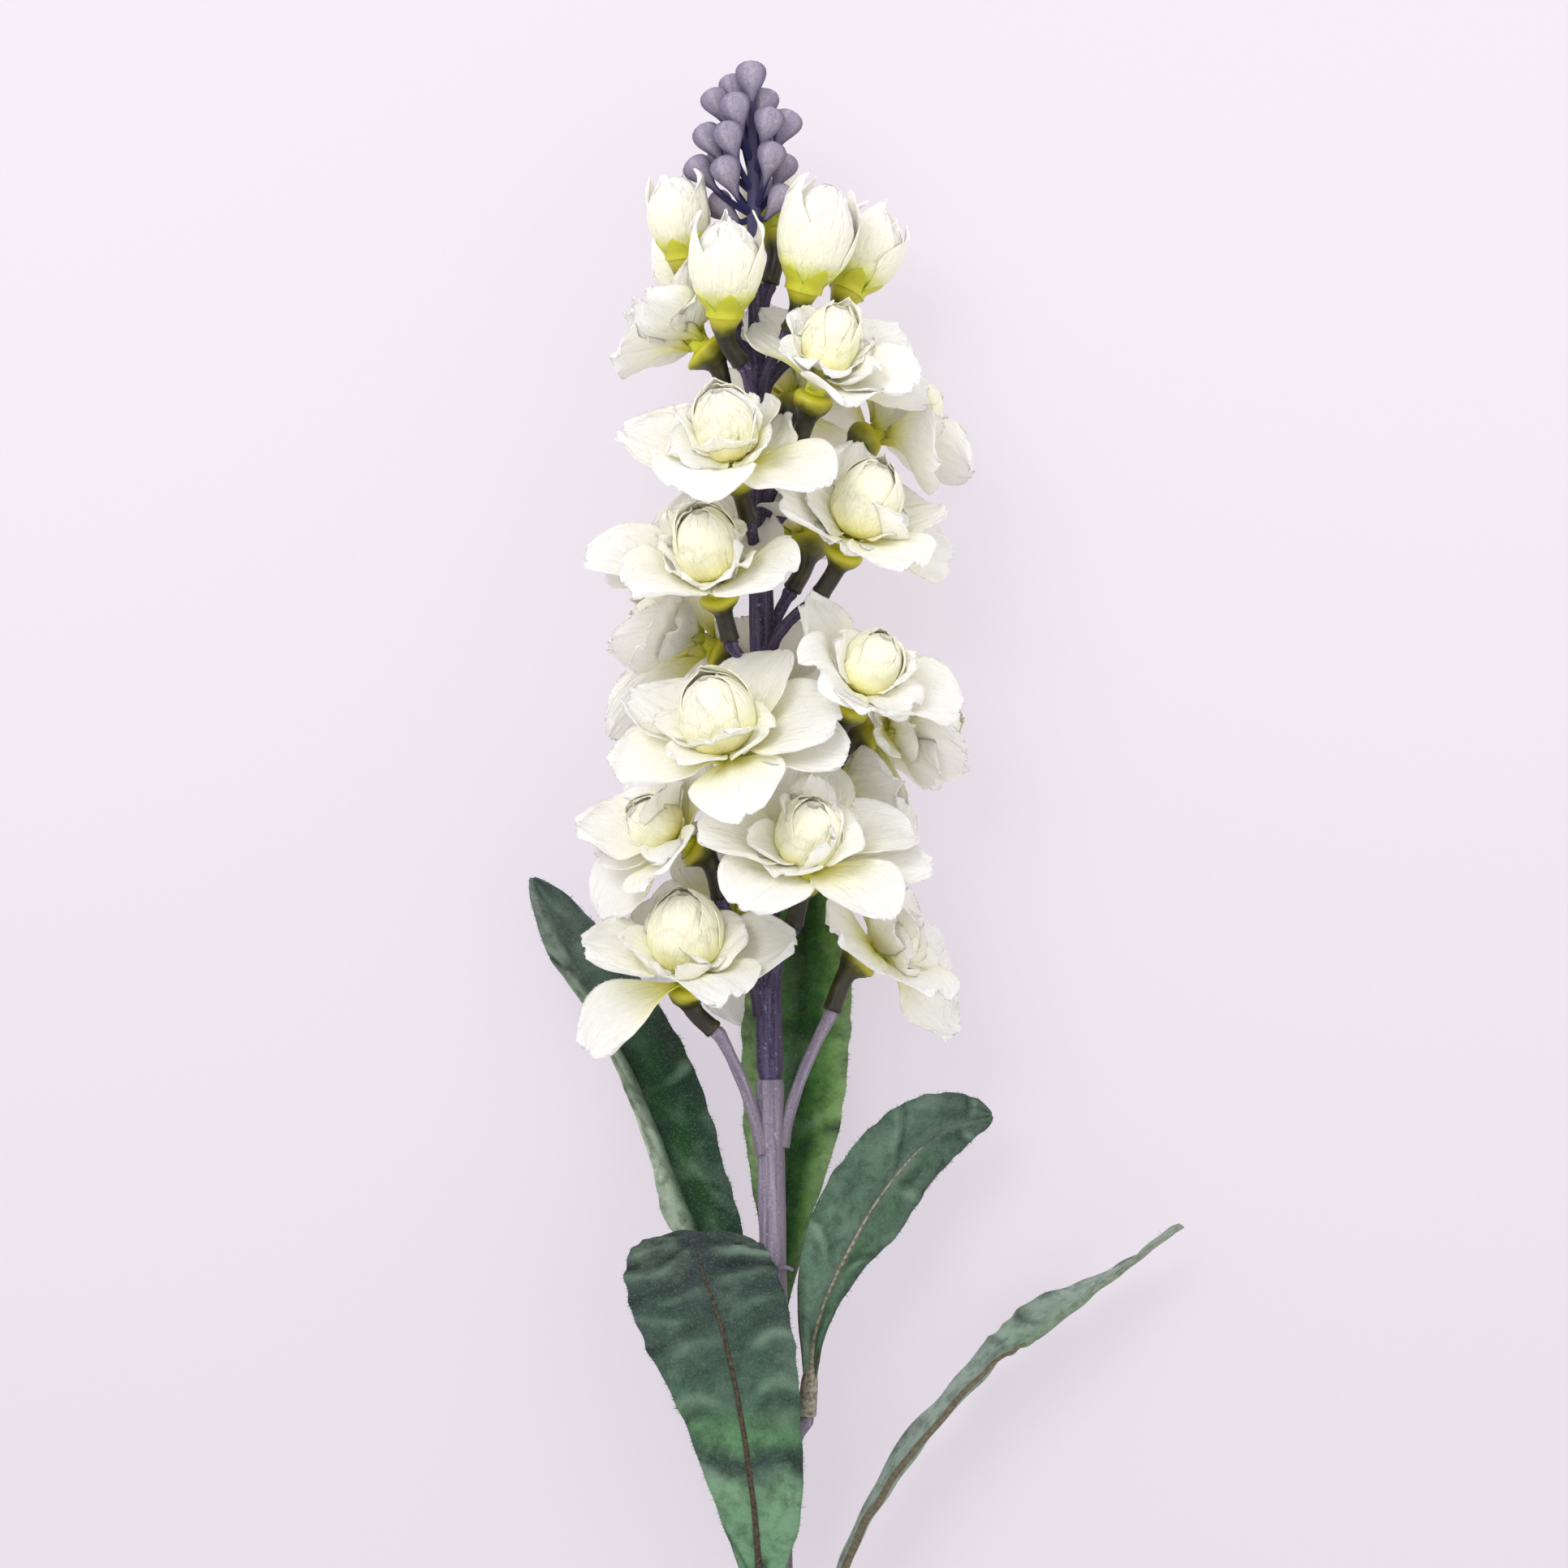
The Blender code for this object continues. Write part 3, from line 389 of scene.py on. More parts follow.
def petal_tips(bloom):
    """The tips in ring order, first those read off the photograph, and the turn of the first claw."""
    lean = math.radians(bloom.lean)
    out, up = bloom.length * math.cos(lean), bloom.length * math.sin(lean)
    tips = [tip_of(bloom, pixel) for pixel in bloom.tips]
    while len(tips) < bloom.petals:
        ring = sorted(turn_of(bloom, tip) for tip in tips) or [0.3]
        pairs = zip(ring, ring[1:] + ring[:1])
        gap, turn = max(((after - turn) % FULL_TURN or FULL_TURN, turn) for turn, after in pairs)
        tips.append(ring_point(bloom, turn + gap / 2, out, up))
    tips.sort(key=lambda tip: turn_of(bloom, tip))
    offsets = [turn_of(bloom, tip) - index * FULL_TURN / len(tips) for index, tip in enumerate(tips)]
    return tips, sum(offsets) / len(tips)


def changed_tip(bloom, tip, change):
    """A tip lifted toward the bloom's axis, turned round it and drawn in, but no lower than pressed flat."""
    lift, turn, size = change
    reach = tip - bloom.base
    around = unit(np.cross(reach, bloom.axis))
    reach = turned(turned(reach, around, lift), bloom.axis, turn) * size
    length = np.linalg.norm(reach)
    low = -PRESSED - bloom.base[2]
    if reach[2] < low:
        flat = unit(np.array([reach[0], reach[1], 0.0]))
        reach = flat * math.sqrt(max(length ** 2 - low ** 2, (0.3 * length) ** 2)) + np.array([0, 0, low])
    return bloom.base + reach


def search_tree(solid):
    tree = KDTree(len(solid.data.vertices))
    for index, vertex in enumerate(solid.data.vertices):
        tree.insert(vertex.co, index)
    tree.balance()
    return tree


def is_in_solid(tree, points):
    """True if the solid has corners half a blade from each of these points, as it has round its petals."""
    return all(abs(tree.find(point)[2] - BLADE / 2) < 0.03 * MM for point in points)


def change_in_solid(bloom, claw, tip, tree):
    """How the solid's own petal was moved clear of its neighbours, or None if the solid leaves it out."""
    for change in CHANGES:
        sheet = petal_sheet(bloom, claw, changed_tip(bloom, tip, change), bloom.width * change[2] ** 0.5)
        if is_in_solid(tree, sheet[-1]):
            return change
    return None


def closed_turns(bloom, phase, sides):
    closed = 4 if bloom.form == "bud" else 3
    step = FULL_TURN / sides
    return [phase + (round(-phase / step) + round(k * sides / closed)) * step for k in range(closed)]


def fit_middle_to_solid(bloom, turns, tree):
    """Makes the closed petals as small as the solid's own."""
    full = bloom.middle_radius, bloom.middle_height
    v = np.array(MIDDLE_ROWS)[:, None]
    for size in MIDDLE_SIZES:
        bloom.middle_radius, bloom.middle_height = full[0] * size, full[1] * size
        sheet = egg_sheet(bloom, np.full_like(v, turns[0]), v)
        if is_in_solid(tree, sheet[:, 0]):
            return
    bloom.middle_radius, bloom.middle_height = full


def normals_of(sheet):
    return units(np.cross(np.gradient(sheet, axis=1), np.gradient(sheet, axis=0)))


def grid_faces(rows, columns):
    a = (np.arange(rows - 1)[:, None] * columns + np.arange(columns - 1)).ravel()
    b, c, d = a + 1, a + columns + 1, a + columns
    return np.vstack([np.stack([a, b, c], axis=1), np.stack([a, c, d], axis=1)])


def rim_of(rows, columns):
    """The numbers of a grid's rim points, in order round it."""
    count = rows * columns
    rim = [*range(columns), *(row * columns + columns - 1 for row in range(1, rows))]
    rim += [*range(count - 2, count - columns - 1, -1), *(row * columns for row in range(rows - 2, 0, -1))]
    return np.array(rim)


def placed(name, data):
    """A new object in the scene."""
    found = bpy.data.objects.new(name, data)
    bpy.context.scene.collection.objects.link(found)
    return found


class Shape:
    """Points, triangles and marks gathered for one piece. Marks are values at each point for its material."""

    def __init__(self, **marks):
        self.points = []
        self.faces = []
        self.flat = []
        self.marks = {name: [] for name in marks}
        self.plain = marks
        self.count = 0

    def add(self, points, faces, flat=None, **marks):
        """flat is where each point lies on the uncut sheet or unrolled surface, in metres."""
        self.points.append(points)
        self.faces.append(np.asarray(faces) + self.count)
        self.flat.append(np.zeros((len(points), 2)) if flat is None else flat)
        for name, plain in self.plain.items():
            self.marks[name].append(np.broadcast_to(np.asarray(marks.get(name, plain), float), len(points)))
        self.count += len(points)

    def add_blade(self, sheet, thickness, flat=None, **marks):
        """A thin solid on both sides of a sheet."""
        rows, columns = sheet.shape[:2]
        count = rows * columns
        normal = normals_of(sheet) * thickness / 2
        points = np.vstack([(sheet + normal).reshape(-1, 3), (sheet - normal).reshape(-1, 3)])
        upper = grid_faces(rows, columns)
        rim = rim_of(rows, columns)
        after = np.roll(rim, -1)
        walls = [np.stack([after, rim, rim + count], axis=1),
                 np.stack([after, rim + count, after + count], axis=1)]
        both = {name: np.tile(np.broadcast_to(value, (rows, columns)).ravel(), 2)
                for name, value in marks.items()}
        flat = None if flat is None else np.tile(flat.reshape(-1, 2), (2, 1))
        self.add(points, np.vstack([upper, upper[:, ::-1] + count, *walls]), flat, **both)

    def add_tube(self, path, radii, sides, **marks):
        """A round solid along a path. radii holds one radius a point, or one for each side of each point.

        A mark may be a function of the share along the path and the way outward.
        """
        path = np.asarray(path, float)
        count = len(path)
        tangents = units(np.gradient(path, axis=0))
        radii = np.broadcast_to(np.asarray(radii, float).reshape(count, -1), (count, sides))
        angles = round_angles(sides)
        side = unit(np.cross(tangents[0], OUT + 0.01 * ACROSS))
        rings, outward = [], []
        for point, tangent, radius in zip(path, tangents, radii):
            side = unit(side - (side @ tangent) * tangent)
            outward.append(np.outer(np.cos(angles), side) + np.outer(np.sin(angles), np.cross(tangent, side)))
            rings.append(point + radius[:, None] * outward[-1])
        ring, k = np.meshgrid(np.arange(count - 1), np.arange(sides), indexing="ij")
        a = (ring * sides + k).ravel()
        b = (ring * sides + (k + 1) % sides).ravel()
        around, after = np.arange(sides), (np.arange(sides) + 1) % sides
        first, last = np.full(sides, count * sides), np.full(sides, count * sides + 1)
        top = (count - 1) * sides
        corners = ((a, b, b + sides), (a, b + sides, a + sides), (first, after, around),
                   (last, top + around, top + after))
        faces = np.vstack([np.stack(three, axis=1) for three in corners])
        run = run_of(path)
        over = np.append(np.tile(angles, count) * radii.mean(), [0, 0])
        along = np.append(np.repeat(run, sides), [run[0], run[-1]])
        share = np.append(np.repeat(np.linspace(0, 1, count), sides), [0, 1])
        outward = np.vstack([*outward, -tangents[:1], tangents[-1:]])
        marks = {name: value(share, outward) if callable(value) else value for name, value in marks.items()}
        self.add(np.vstack([*rings, path[:1], path[-1:]]), faces, np.stack([over, along], axis=1), **marks)

    def piece(self, name, material, node, slot):
        """The finished piece, in place of its solid."""
        mesh = bpy.data.meshes.new(name)
        faces = np.vstack(self.faces)
        mesh.from_pydata(off_floor(np.vstack(self.points), LOWEST_POINT), [], faces)
        mesh.shade_smooth()
        mesh.set_sharp_from_angle(angle=math.radians(58))
        for mark, values in self.marks.items():
            layer = mesh.attributes.new(mark, "FLOAT", "POINT")
            layer.data.foreach_set("value", np.concatenate(values).astype(np.float32))
        uv = mesh.uv_layers.new(name="flat")
        uv.data.foreach_set("uv", np.vstack(self.flat)[faces.ravel()].astype(np.float32).ravel())
        mesh.materials.append(material)
        found = placed(name, mesh)
        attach(found, "root")
        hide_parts(node)


def luck_of(*numbers):
    """A source of random numbers that gives the same ones at every run."""
    return np.random.default_rng(list(numbers))


def cloth_grid(rows, columns):
    """Shares v of a petal's length, closer together toward its tip, and u of its half width."""
    steps = np.linspace(0, 1, rows)
    return np.meshgrid(steps * (1.35 - 0.35 * steps), np.linspace(-1, 1, columns), indexing="ij")


def cloth_relief(v, u, luck, waved):
    """How far a petal's cloth stands off its smooth form: a waved rim, pleats, creases and a curled end."""
    turn = np.arctan2(u, (v - 0.45) * 1.8)
    rim = np.clip(np.hypot(0.95 * u, (v - 0.45) / 0.55), 0, 1.1) ** 3 * v ** 0.8
    waves = 0
    for least, most, low, high in ((0.5, 1.2, 2, 5), (0.25, 0.6, 6, 9), (0.08, 0.22, 13, 19)):
        height, beats = luck.uniform(least, most), luck.integers(low, high)
        waves = waves + height * np.sin(beats * turn + luck.uniform(0, ANY_START))
    pleats = luck.uniform(0.15, 0.45) * wave(luck, 4, 8, u * (1 - 0.3 * v))
    pleats = pleats + 0.1 * wave(luck, 13, 19, u * (1 - 0.4 * v)) * v
    crease = luck.uniform(0.2, 1.5) * np.exp(-np.abs(u + luck.uniform(-0.15, 0.15)) / 0.22) * (1 - 0.6 * v)
    fold = luck.uniform(0, 0.9) * np.exp(-np.abs(u - luck.choice([-0.5, 0.5])) / 0.12) * v ** 2
    curl = luck.uniform(-4.0, 2.4) * ease(v, 0.55) ** 2
    roll = luck.uniform(-1.6, 2.2) * np.abs(u) ** 3 * v
    return (waved * waves * rim + (pleats - crease) * np.sqrt(v) + fold + curl + roll) * MM


def add_strands(shape, root, spread, tips, **marks):
    """Thin upright triangles, each as wide as its spread on both sides of its root."""
    strands = np.stack([root - spread, root + spread, tips], axis=1).reshape(-1, 3)
    shape.add(off_floor(strands, LOWEST_THREAD), np.arange(len(strands)).reshape(-1, 3), **marks)


def add_threads(shape, sheet, luck, **marks):
    """Loose ends of thread along the cut rim of a petal, past its claw."""
    rows, columns = sheet.shape[:2]
    rim = rim_of(rows, columns)[columns:]
    inner = np.clip(rim // columns, 1, rows - 2) * columns + np.clip(rim % columns, 1, columns - 2)
    points = sheet.reshape(-1, 3)
    edge, outward = points[rim], units(points[rim] - points[inner])
    run = run_of(edge)
    count = int(run[-1] / THREAD_SPACING)
    spots = luck.uniform(0.12, 0.9, count) * run[-1]
    root = points_at(run, edge, spots)
    ahead = units(points_at(run, edge, spots + 0.3 * MM) - root)
    reach = points_at(run, outward, spots)
    way = reach + ahead * luck.uniform(-0.8, 0.8, count)[:, None]
    tips = root + way * THREAD_LENGTH * luck.uniform(0.3, 1.2, count)[:, None]
    add_strands(shape, root - reach * 0.3 * MM, ahead * 0.16 * MM, tips, **marks)


def add_open_petal(shape, bloom, claw, tip, width, luck, waved=1.0, grid=OPEN_GRID):
    """One petal of an open bloom, with a rounder end than its solid's and a frayed rim."""
    v, u = cloth_grid(*grid)
    within = u * np.sqrt(1 - (0.97 * ease(v, 0.56)) ** 2.5) / end_share(v)
    rounded = v * (1 - 0.06 * u ** 2 * v ** 5)
    sheet = petal_sheet(bloom, claw, tip, width * luck.uniform(0.98, 1.16), rounded, within)
    length = np.linalg.norm(tip - claw)
    sheet = sheet + normals_of(sheet) * cloth_relief(v, u, luck, waved)[..., None]
    notch = luck.uniform(0, 0.04) * np.exp(-((u - luck.uniform(-0.5, 0.5)) / 0.25) ** 2)
    notch = notch + 0.006 * wave(luck, 16, 26, u)
    sheet = off_floor(sheet - unit(tip - claw) * (notch * v ** 8 * length)[..., None], LOWEST_PETAL)
    flat = np.stack([within * width / 2, v * length], axis=2) + luck.uniform(0, 0.2, 2)
    tone = luck.uniform(0, 1)
    shape.add_blade(sheet, CLOTH, flat, from_claw=v, tone=tone)
    add_threads(shape, sheet, luck, from_claw=1.0, tone=tone)


def add_closed_petal(shape, bloom, turn, luck, share=1.0, rise=1.0, spread=1.0, close=0.55, point=0.0,
                     flare=0.0):
    """One petal of the closed middle. point narrows its end, and flare in mm bends its end out."""
    v, u = cloth_grid(*CLOSED_GRID)
    bud = bloom.form == "bud"
    taper, claw = (BUD_TAPER, BUD_CLAW_RADIUS * share) if bud else (3, MIDDLE_CLAW_RADIUS)
    span = middle_span(bloom, v) * spread * (1 - point * v ** 3)
    height = v - (0.1 + 0.12 * point) * u ** 2 * v ** 2
    if bud:
        height = height - BUD_SUNK * (1 - v)
    sheet = egg_sheet(bloom, turn + span * u, height, share + 0.035 * u, rise, close, taper, claw)
    waves = luck.uniform(0.15, 0.4) * wave(luck, 3, 6, u) * v ** 4
    bend = (flare + luck.uniform(-0.3, 0.6)) * ease(v, 0.72) ** 2
    folds = luck.uniform(0.1, 0.35) * wave(luck, 5, 9, u) * v
    folds = folds + 0.09 * wave(luck, 12, 18, u) * v
    lift = luck.uniform(-0.9, 0.9) * wave(luck, 2, 5, u) * v ** 6
    outward = units(sheet - (bloom.base + bloom.axis * ((sheet - bloom.base) @ bloom.axis)[..., None]))
    sheet = sheet + outward * ((waves + folds + bend) * MM)[..., None]
    sheet = off_floor(sheet + bloom.axis * (lift * MM)[..., None], LOWEST_PETAL)
    flat = np.stack([u * span * bloom.middle_radius, v * bloom.middle_height], axis=2)
    closed = 0.5 if bud else 1.0
    flat = flat + luck.uniform(0, 0.2, 2)
    shape.add_blade(sheet, CLOTH, flat, from_claw=v, tone=luck.uniform(0, 1), closed=closed)
    if share > 0.95:
        add_threads(shape, sheet, luck, from_claw=1.0, closed=closed)


def add_heart(shape, bloom):
    """The core that the closed petals wrap, green at their feet and pale above."""
    steps = np.linspace(0, 1, HEART_SIDES)
    first, _ = sides_of(bloom.axis)
    profile = egg_sheet(bloom, 0 * steps, steps, HEART_SHARE, 0.96, 1.2) - bloom.base
    radii = np.append(2.6 * MM, np.maximum(profile @ first, 0.5 * MM))
    path = bloom.base + bloom.axis * np.append(-0.3 * MM, profile @ bloom.axis)[:, None]
    shape.add_tube(path, radii, HEART_SIDES, from_claw=lambda share, outward: share,
                   closed=0.5 if bloom.form == "bud" else 1.0)


def open_bloom(number, bloom, solid):
    """One open bloom: the outer petals of its solid, shorter ones inside them, and the closed middle."""
    shape = Shape(from_claw=0.0, tone=0.5, closed=0.0)
    tree = search_tree(solid)
    tips, phase = petal_tips(bloom)
    for index, tip in enumerate(tips):
        luck = luck_of(number, 1, index)
        height = UPPER_CLAW_HEIGHT if index % 2 else CLAW_HEIGHT
        claw = ring_point(bloom, phase + index * FULL_TURN / len(tips), CLAW_RADIUS, height)
        change = change_in_solid(bloom, claw, tip, tree) or (4, 0, 0.9)
        tip = changed_tip(bloom, tip, change)
        add_open_petal(shape, bloom, claw, tip, bloom.width * change[2] ** 0.5, luck)
    turns = closed_turns(bloom, phase, len(tips))
    fit_middle_to_solid(bloom, turns, tree)
    count = INNER_PETALS.get(bloom.name, USUAL_INNER_PETALS)
    for index in range(count):
        luck = luck_of(number, 2, index)
        turn = phase + (index + 0.5 + luck.uniform(-0.2, 0.2)) * FULL_TURN / count
        claw = ring_point(bloom, turn, 0.85 * CLAW_RADIUS, INNER_CLAW_HEIGHT)
        upright = MORE_UPRIGHT * (index % 2)
        lean = INNER_LEAN + upright - LEAN_TO_VIEWER * facing(bloom, turn) + luck.uniform(-9, 7)
        lean = math.radians(lean)
        length = bloom.length * luck.uniform(0.6, 0.82) * (1 - 0.006 * upright)
        tip = ring_point(bloom, turn, length * math.cos(lean), length * math.sin(lean))
        tip = changed_tip(bloom, tip, (0, 0, 1))
        add_open_petal(shape, bloom, claw, tip, bloom.width * luck.uniform(0.55, 0.85), luck, 0.8, INNER_GRID)
    add_egg(shape, bloom, turns, number)
    add_heart(shape, bloom)
    return shape


def add_egg(shape, bloom, turns, number):
    """Closed petals that wrap one another, lower toward the viewer so that those behind show."""
    for ring, (share, spread, close, offset) in enumerate(EGG_RINGS):
        for index, start in enumerate(turns):
            luck = luck_of(number, 3 + ring, index)
            turn = start + offset * FULL_TURN / len(turns)
            rise = EGG_RISE - 0.09 * facing(bloom, turn) + luck.uniform(-0.05, 0.05) + 0.04 * ring
            add_closed_petal(shape, bloom, turn, luck, share, rise, spread, close)


def closed_bud(number, bloom, solid):
    """One bud: four pointed petals as in its solid, made wide enough to wrap, and more inside them."""
    shape = Shape(from_claw=0.0, tone=0.5, closed=0.0)
    turns = closed_turns(bloom, 0.0, 4)
    fit_middle_to_solid(bloom, turns, search_tree(solid))
    for index, turn in enumerate(turns):
        luck = luck_of(number, 1, index)
        turn = turn + luck.uniform(-0.12, 0.12)
        rise, close, flare = luck.uniform(0.93, 1.06), luck.uniform(0.6, 0.95), luck.uniform(-0.4, 0.9)
        add_closed_petal(shape, bloom, turn, luck, 1.0, rise, 1.5, close, 0.52, flare)
        luck = luck_of(number, 2, index)
        rise = luck.uniform(0.84, 0.95)
        add_closed_petal(shape, bloom, turn + math.pi / 4, luck, 0.86, rise, 1.8, 1.0, 0.4)
    add_heart(shape, bloom)
    return shape


def along_line(line, count):
    """Points at even steps on a smooth curve through a line's own points."""
    last = len(line) - 1
    found = []
    for step in np.linspace(0, last, count):
        i = min(int(step), last - 1)
        t = step - i
        a, b, c, d = (line[min(max(k, 0), last)] for k in (i - 1, i, i + 1, i + 2))
        square, cube = 2 * a - 5 * b + 4 * c - d, 3 * b - a - 3 * c + d
        found.append(0.5 * (2 * b + (c - a) * t + square * t ** 2 + cube * t ** 3))
    return np.array(found)


# The calyx from the lip of its sleeve, 0, to the rim of its cup, 1, with radii in mm
CUP_STEPS = (0, 0.02, 0.06, 0.12, 0.45, 0.58, 0.66, 0.74, 0.83, 0.9, 0.96, 1.0)
CUP_RADII = (2.0, 2.35, 2.45, 2.25, 2.2, 2.35, 3.0, 4.1, 4.8, 5.0, 4.6, 3.6)
BUD_CUP_RADII = (2.0, 2.35, 2.45, 2.25, 2.2, 2.35, 2.65, 3.0, 3.45, 3.85, 4.2, 4.4)
CUP_SIDES = 28
SEPALS = 5
SEPAL_HEIGHT = 0.2
SEPAL_SPAN = math.radians(42)


def calyx(number, bloom):
    """A soft plastic sleeve that swells to a cup. Round a bud its rim runs up in points."""
    shape = Shape(up_cup=0.0, tone=0.5)
    neck = bloom.foot + (bloom.throat - bloom.foot) * 0.75
    widest = bloom.cup - bloom.axis * 0.57 * CUP_DEPTH
    path = along_line(np.array([bloom.foot, neck, widest, bloom.cup]), 36)
    run = run_of(path)
    share = run / run[-1]
    angles = round_angles(CUP_SIDES)
    luck = luck_of(number, 9)
    ribs = 1 + 0.025 * np.cos(5 * angles + luck.uniform(0, ANY_START)) * np.clip(share[:, None] * 2 - 1, 0, 1)
    swell = np.interp(share, [0.5, 0.75, 0.95, 1.0], [1, bloom.swell, bloom.swell, 1])
    cup = BUD_CUP_RADII if bloom.form == "bud" else CUP_RADII
    radii = (np.interp(share, CUP_STEPS, cup) * swell)[:, None] * MM * ribs
    path = np.vstack([path, path[-1] - bloom.axis * 0.6 * MM])
    radii = np.vstack([radii, radii[-1:] * 0.8])
    shape.add_tube(path, radii, CUP_SIDES, up_cup=lambda share, outward: share, tone=luck.uniform(0, 1))
    if bloom.form == "bud":
        v, u = np.meshgrid(np.linspace(0, SEPAL_HEIGHT, 9), np.linspace(-1, 1, 9), indexing="ij")
        for index in range(SEPALS):
            turn = index * FULL_TURN / SEPALS + luck.uniform(-0.1, 0.1)
            span = SEPAL_SPAN * (1 - (v / SEPAL_HEIGHT) ** 1.6)
            height = v * luck.uniform(0.8, 1.2) - BUD_SUNK * (1 - v / SEPAL_HEIGHT)
            sheet = egg_sheet(bloom, turn + span * u, height, 1.03, taper=BUD_TAPER,
                              claw=1.06 * BUD_CLAW_RADIUS)
            shape.add_blade(sheet, 0.35 * MM, up_cup=1 + v, tone=luck.uniform(0, 1))
    return shape


PEG_STEPS = (0, 0.12, 0.3, 0.62, 0.78, 0.82, 0.86, 1.0)
PEG_RADII = (2.3, 1.75, 1.5, 1.45, 1.6, 1.95, 1.9, 1.0)


def stem_radius(row):
    if row > JOINT_ROW:
        return STEM_RADIUS
    return np.interp(row, [CROWN_ROW, 500, 900], [TIP_RADIUS, 0.8 * SPIKE_RADIUS, SPIKE_RADIUS])


def add_peg(shape, root_row, foot, heading):
    """A flocked side shoot that leaves along the stem, bends out and ends in a knob at its socket."""
    root = stem_point(root_row)
    outward = foot - root
    outward = unit(outward - (outward @ ALONG) * ALONG)
    start = root + outward * (stem_radius(root_row) - 1.2 * MM)
    end = foot - heading * 1.5 * MM
    bend = start + ALONG * 0.55 * ((end - start) @ ALONG) + outward * 0.12 * np.linalg.norm(end - start)
    t = np.linspace(0, 1, 22)[:, None]
    path = np.vstack([bent_line(start, bend, end, t), foot - heading * 0.6 * MM,
                      foot - heading * 0.2 * MM, foot + heading * 0.5 * SOCKET_DEPTH])
    share = np.concatenate([t[:, 0] * 0.8, [0.84, 0.88, 1.0]])
    lumps = 1 + 0.04 * np.sin(26 * share + foot[0] * 900)
    shape.add_tube(path, np.interp(share, PEG_STEPS, PEG_RADII) * MM * lumps, 14,
                   shaded=lambda share, outward: 0.6 * np.clip(1 - share / 0.4, 0, 1))


def fluted(path, radii, flutes, depth, luck, sides=32):
    """Radii of a moulded stem whose ridges run its length and wander a little."""
    angles = round_angles(sides)
    run = np.linspace(0, 1, len(path))[:, None]
    wander = 0.5 * np.sin(9 * run + luck.uniform(0, ANY_START))
    ridges = np.cos(flutes * angles + wander) + 0.6 * np.cos((flutes + 2) * angles - 2 * wander + 1.3)
    lumps = 0.012 * np.sin(70 * run + 3 * np.sin(angles)) + 0.01 * np.sin(143 * run + 2 * np.cos(angles))
    return np.asarray(radii)[:, None] * (1 + depth * ridges + lumps)


def stem_pieces(finishes):
    """The moulded stem in its two lengths, with the pegs of each, and the wire in them."""
    cut, joint = stem_point(CUT_ROW), stem_point(JOINT_ROW)
    crown = stem_point(CROWN_ROW)
    upward = unit(crown - cut)
    lower, spike, wire = Shape(shaded=0.0), Shape(shaded=0.0), Shape()
    path = cut + (joint - cut) * np.linspace(0, 1, 300)[:, None]
    past = np.linalg.norm(joint - path, axis=1)
    radii = STEM_RADIUS * (0.985 + 0.05 * np.exp(-((past - 2.5 * MM) / (2.2 * MM)) ** 2))
    radii[-1] *= 0.9
    bored = [path[:1] + upward * 6 * MM, path[:1]]
    flutes = fluted(path, radii, 5, 0.045, luck_of(90))
    inner = np.full((2, flutes.shape[1]), BORE_RADIUS)
    lower.add_tube(np.vstack([*bored, path]), np.vstack([inner, flutes]), flutes.shape[1],
                   shaded=lambda share, outward: 0.75 * np.clip((outward @ ACROSS - 0.2) / 0.6, 0, 1))
    rows = np.linspace(JOINT_ROW + 10, CROWN_ROW, 260)
    path = np.array([stem_point(row) for row in rows])
    past = np.linalg.norm(joint - path, axis=1)
    radii = np.array([stem_radius(min(row, JOINT_ROW)) for row in rows])
    radii *= 1 - 0.16 * np.exp(-(past / (2.0 * MM)) ** 2)
    flutes = fluted(path, radii, 4, 0.07, luck_of(91))
    spike.add_tube(path, flutes, flutes.shape[1],
                   shaded=lambda share, outward: 0.5 * np.clip((outward @ ACROSS - 0.3) / 0.6, 0, 1))
    # The small mould tag beside the front leaf
    tag = [stem_point(1566, 2.6 * MM), spot(966, 1561, 3.9), spot(977, 1565, 3.2)]
    lower.add_tube(along_line(np.array(tag), 12), [0.45 * MM] * 12, 8)
    for bloom in BLOOMS:
        heading = unit(bloom.throat - bloom.foot)
        shape = lower if bloom.root > JOINT_ROW else spike
        add_peg(shape, bloom.root, bloom.foot, heading)
    for leaf in LEAVES:
        add_peg(lower, leaf.root, leaf.foot, unit(leaf.lines[1][0] - leaf.foot))
    ends = [cut - upward * 0.1 * MM, cut + upward * 60 * MM, joint + upward * 29 * MM]
    wire.add_tube(ends, [WIRE_RADIUS] * 3, 20)
    lower.piece("flocked_stem", finishes["stem"], "stem_lower", "stem")
    spike.piece("flocked_spike", finishes["spike"], "stem_spike", "spike")
    wire.piece("drawn_wire", finishes["wire"], "stem_wire", "wire")


# The unopened buds at the tip: their middles as pixels with depths in mm
TIP_BUDS = [
    (885, 132, 0), (908, 140, 5), (905, 116, -4), (940, 133, -4), (945, 157, 4), (965, 160, 0), (877, 177, 1),
    (900, 175, 6), (866, 214, 0), (898, 218, 5), (948, 200, 5), (963, 212, -2), (957, 250, 3), (893, 258, -3),
    (914, 160, -6), (938, 185, -7), (893, 205, -6), (935, 235, -7),
]
TOP_BUD = (926, 122)
CROWN_RADIUS = 1.9 * MM
BUD_LENGTH = 9.5 * MM
BUD_RADIUS = 3.1 * MM
BUD_STALK = 0.7 * MM
BUD_SIDES = 18
BUD_STEPS = (0, 0.12, 0.25, 0.4, 0.55, 0.68, 0.8, 0.9, 0.97, 1.0)
BUD_RADII = (0.24, 0.34, 0.5, 0.74, 0.95, 1.04, 1.0, 0.82, 0.48, 0.08)


def bud_shade(share, outward):
    """Painted shade: dark up the stalk and round the sides, and paler where the bud faces out toward the
    viewer.
    """
    return np.clip((0.58 - share) / 0.3, 0, 1) + 0.75 * np.clip(0.9 - outward @ OUT, 0, 0.8)


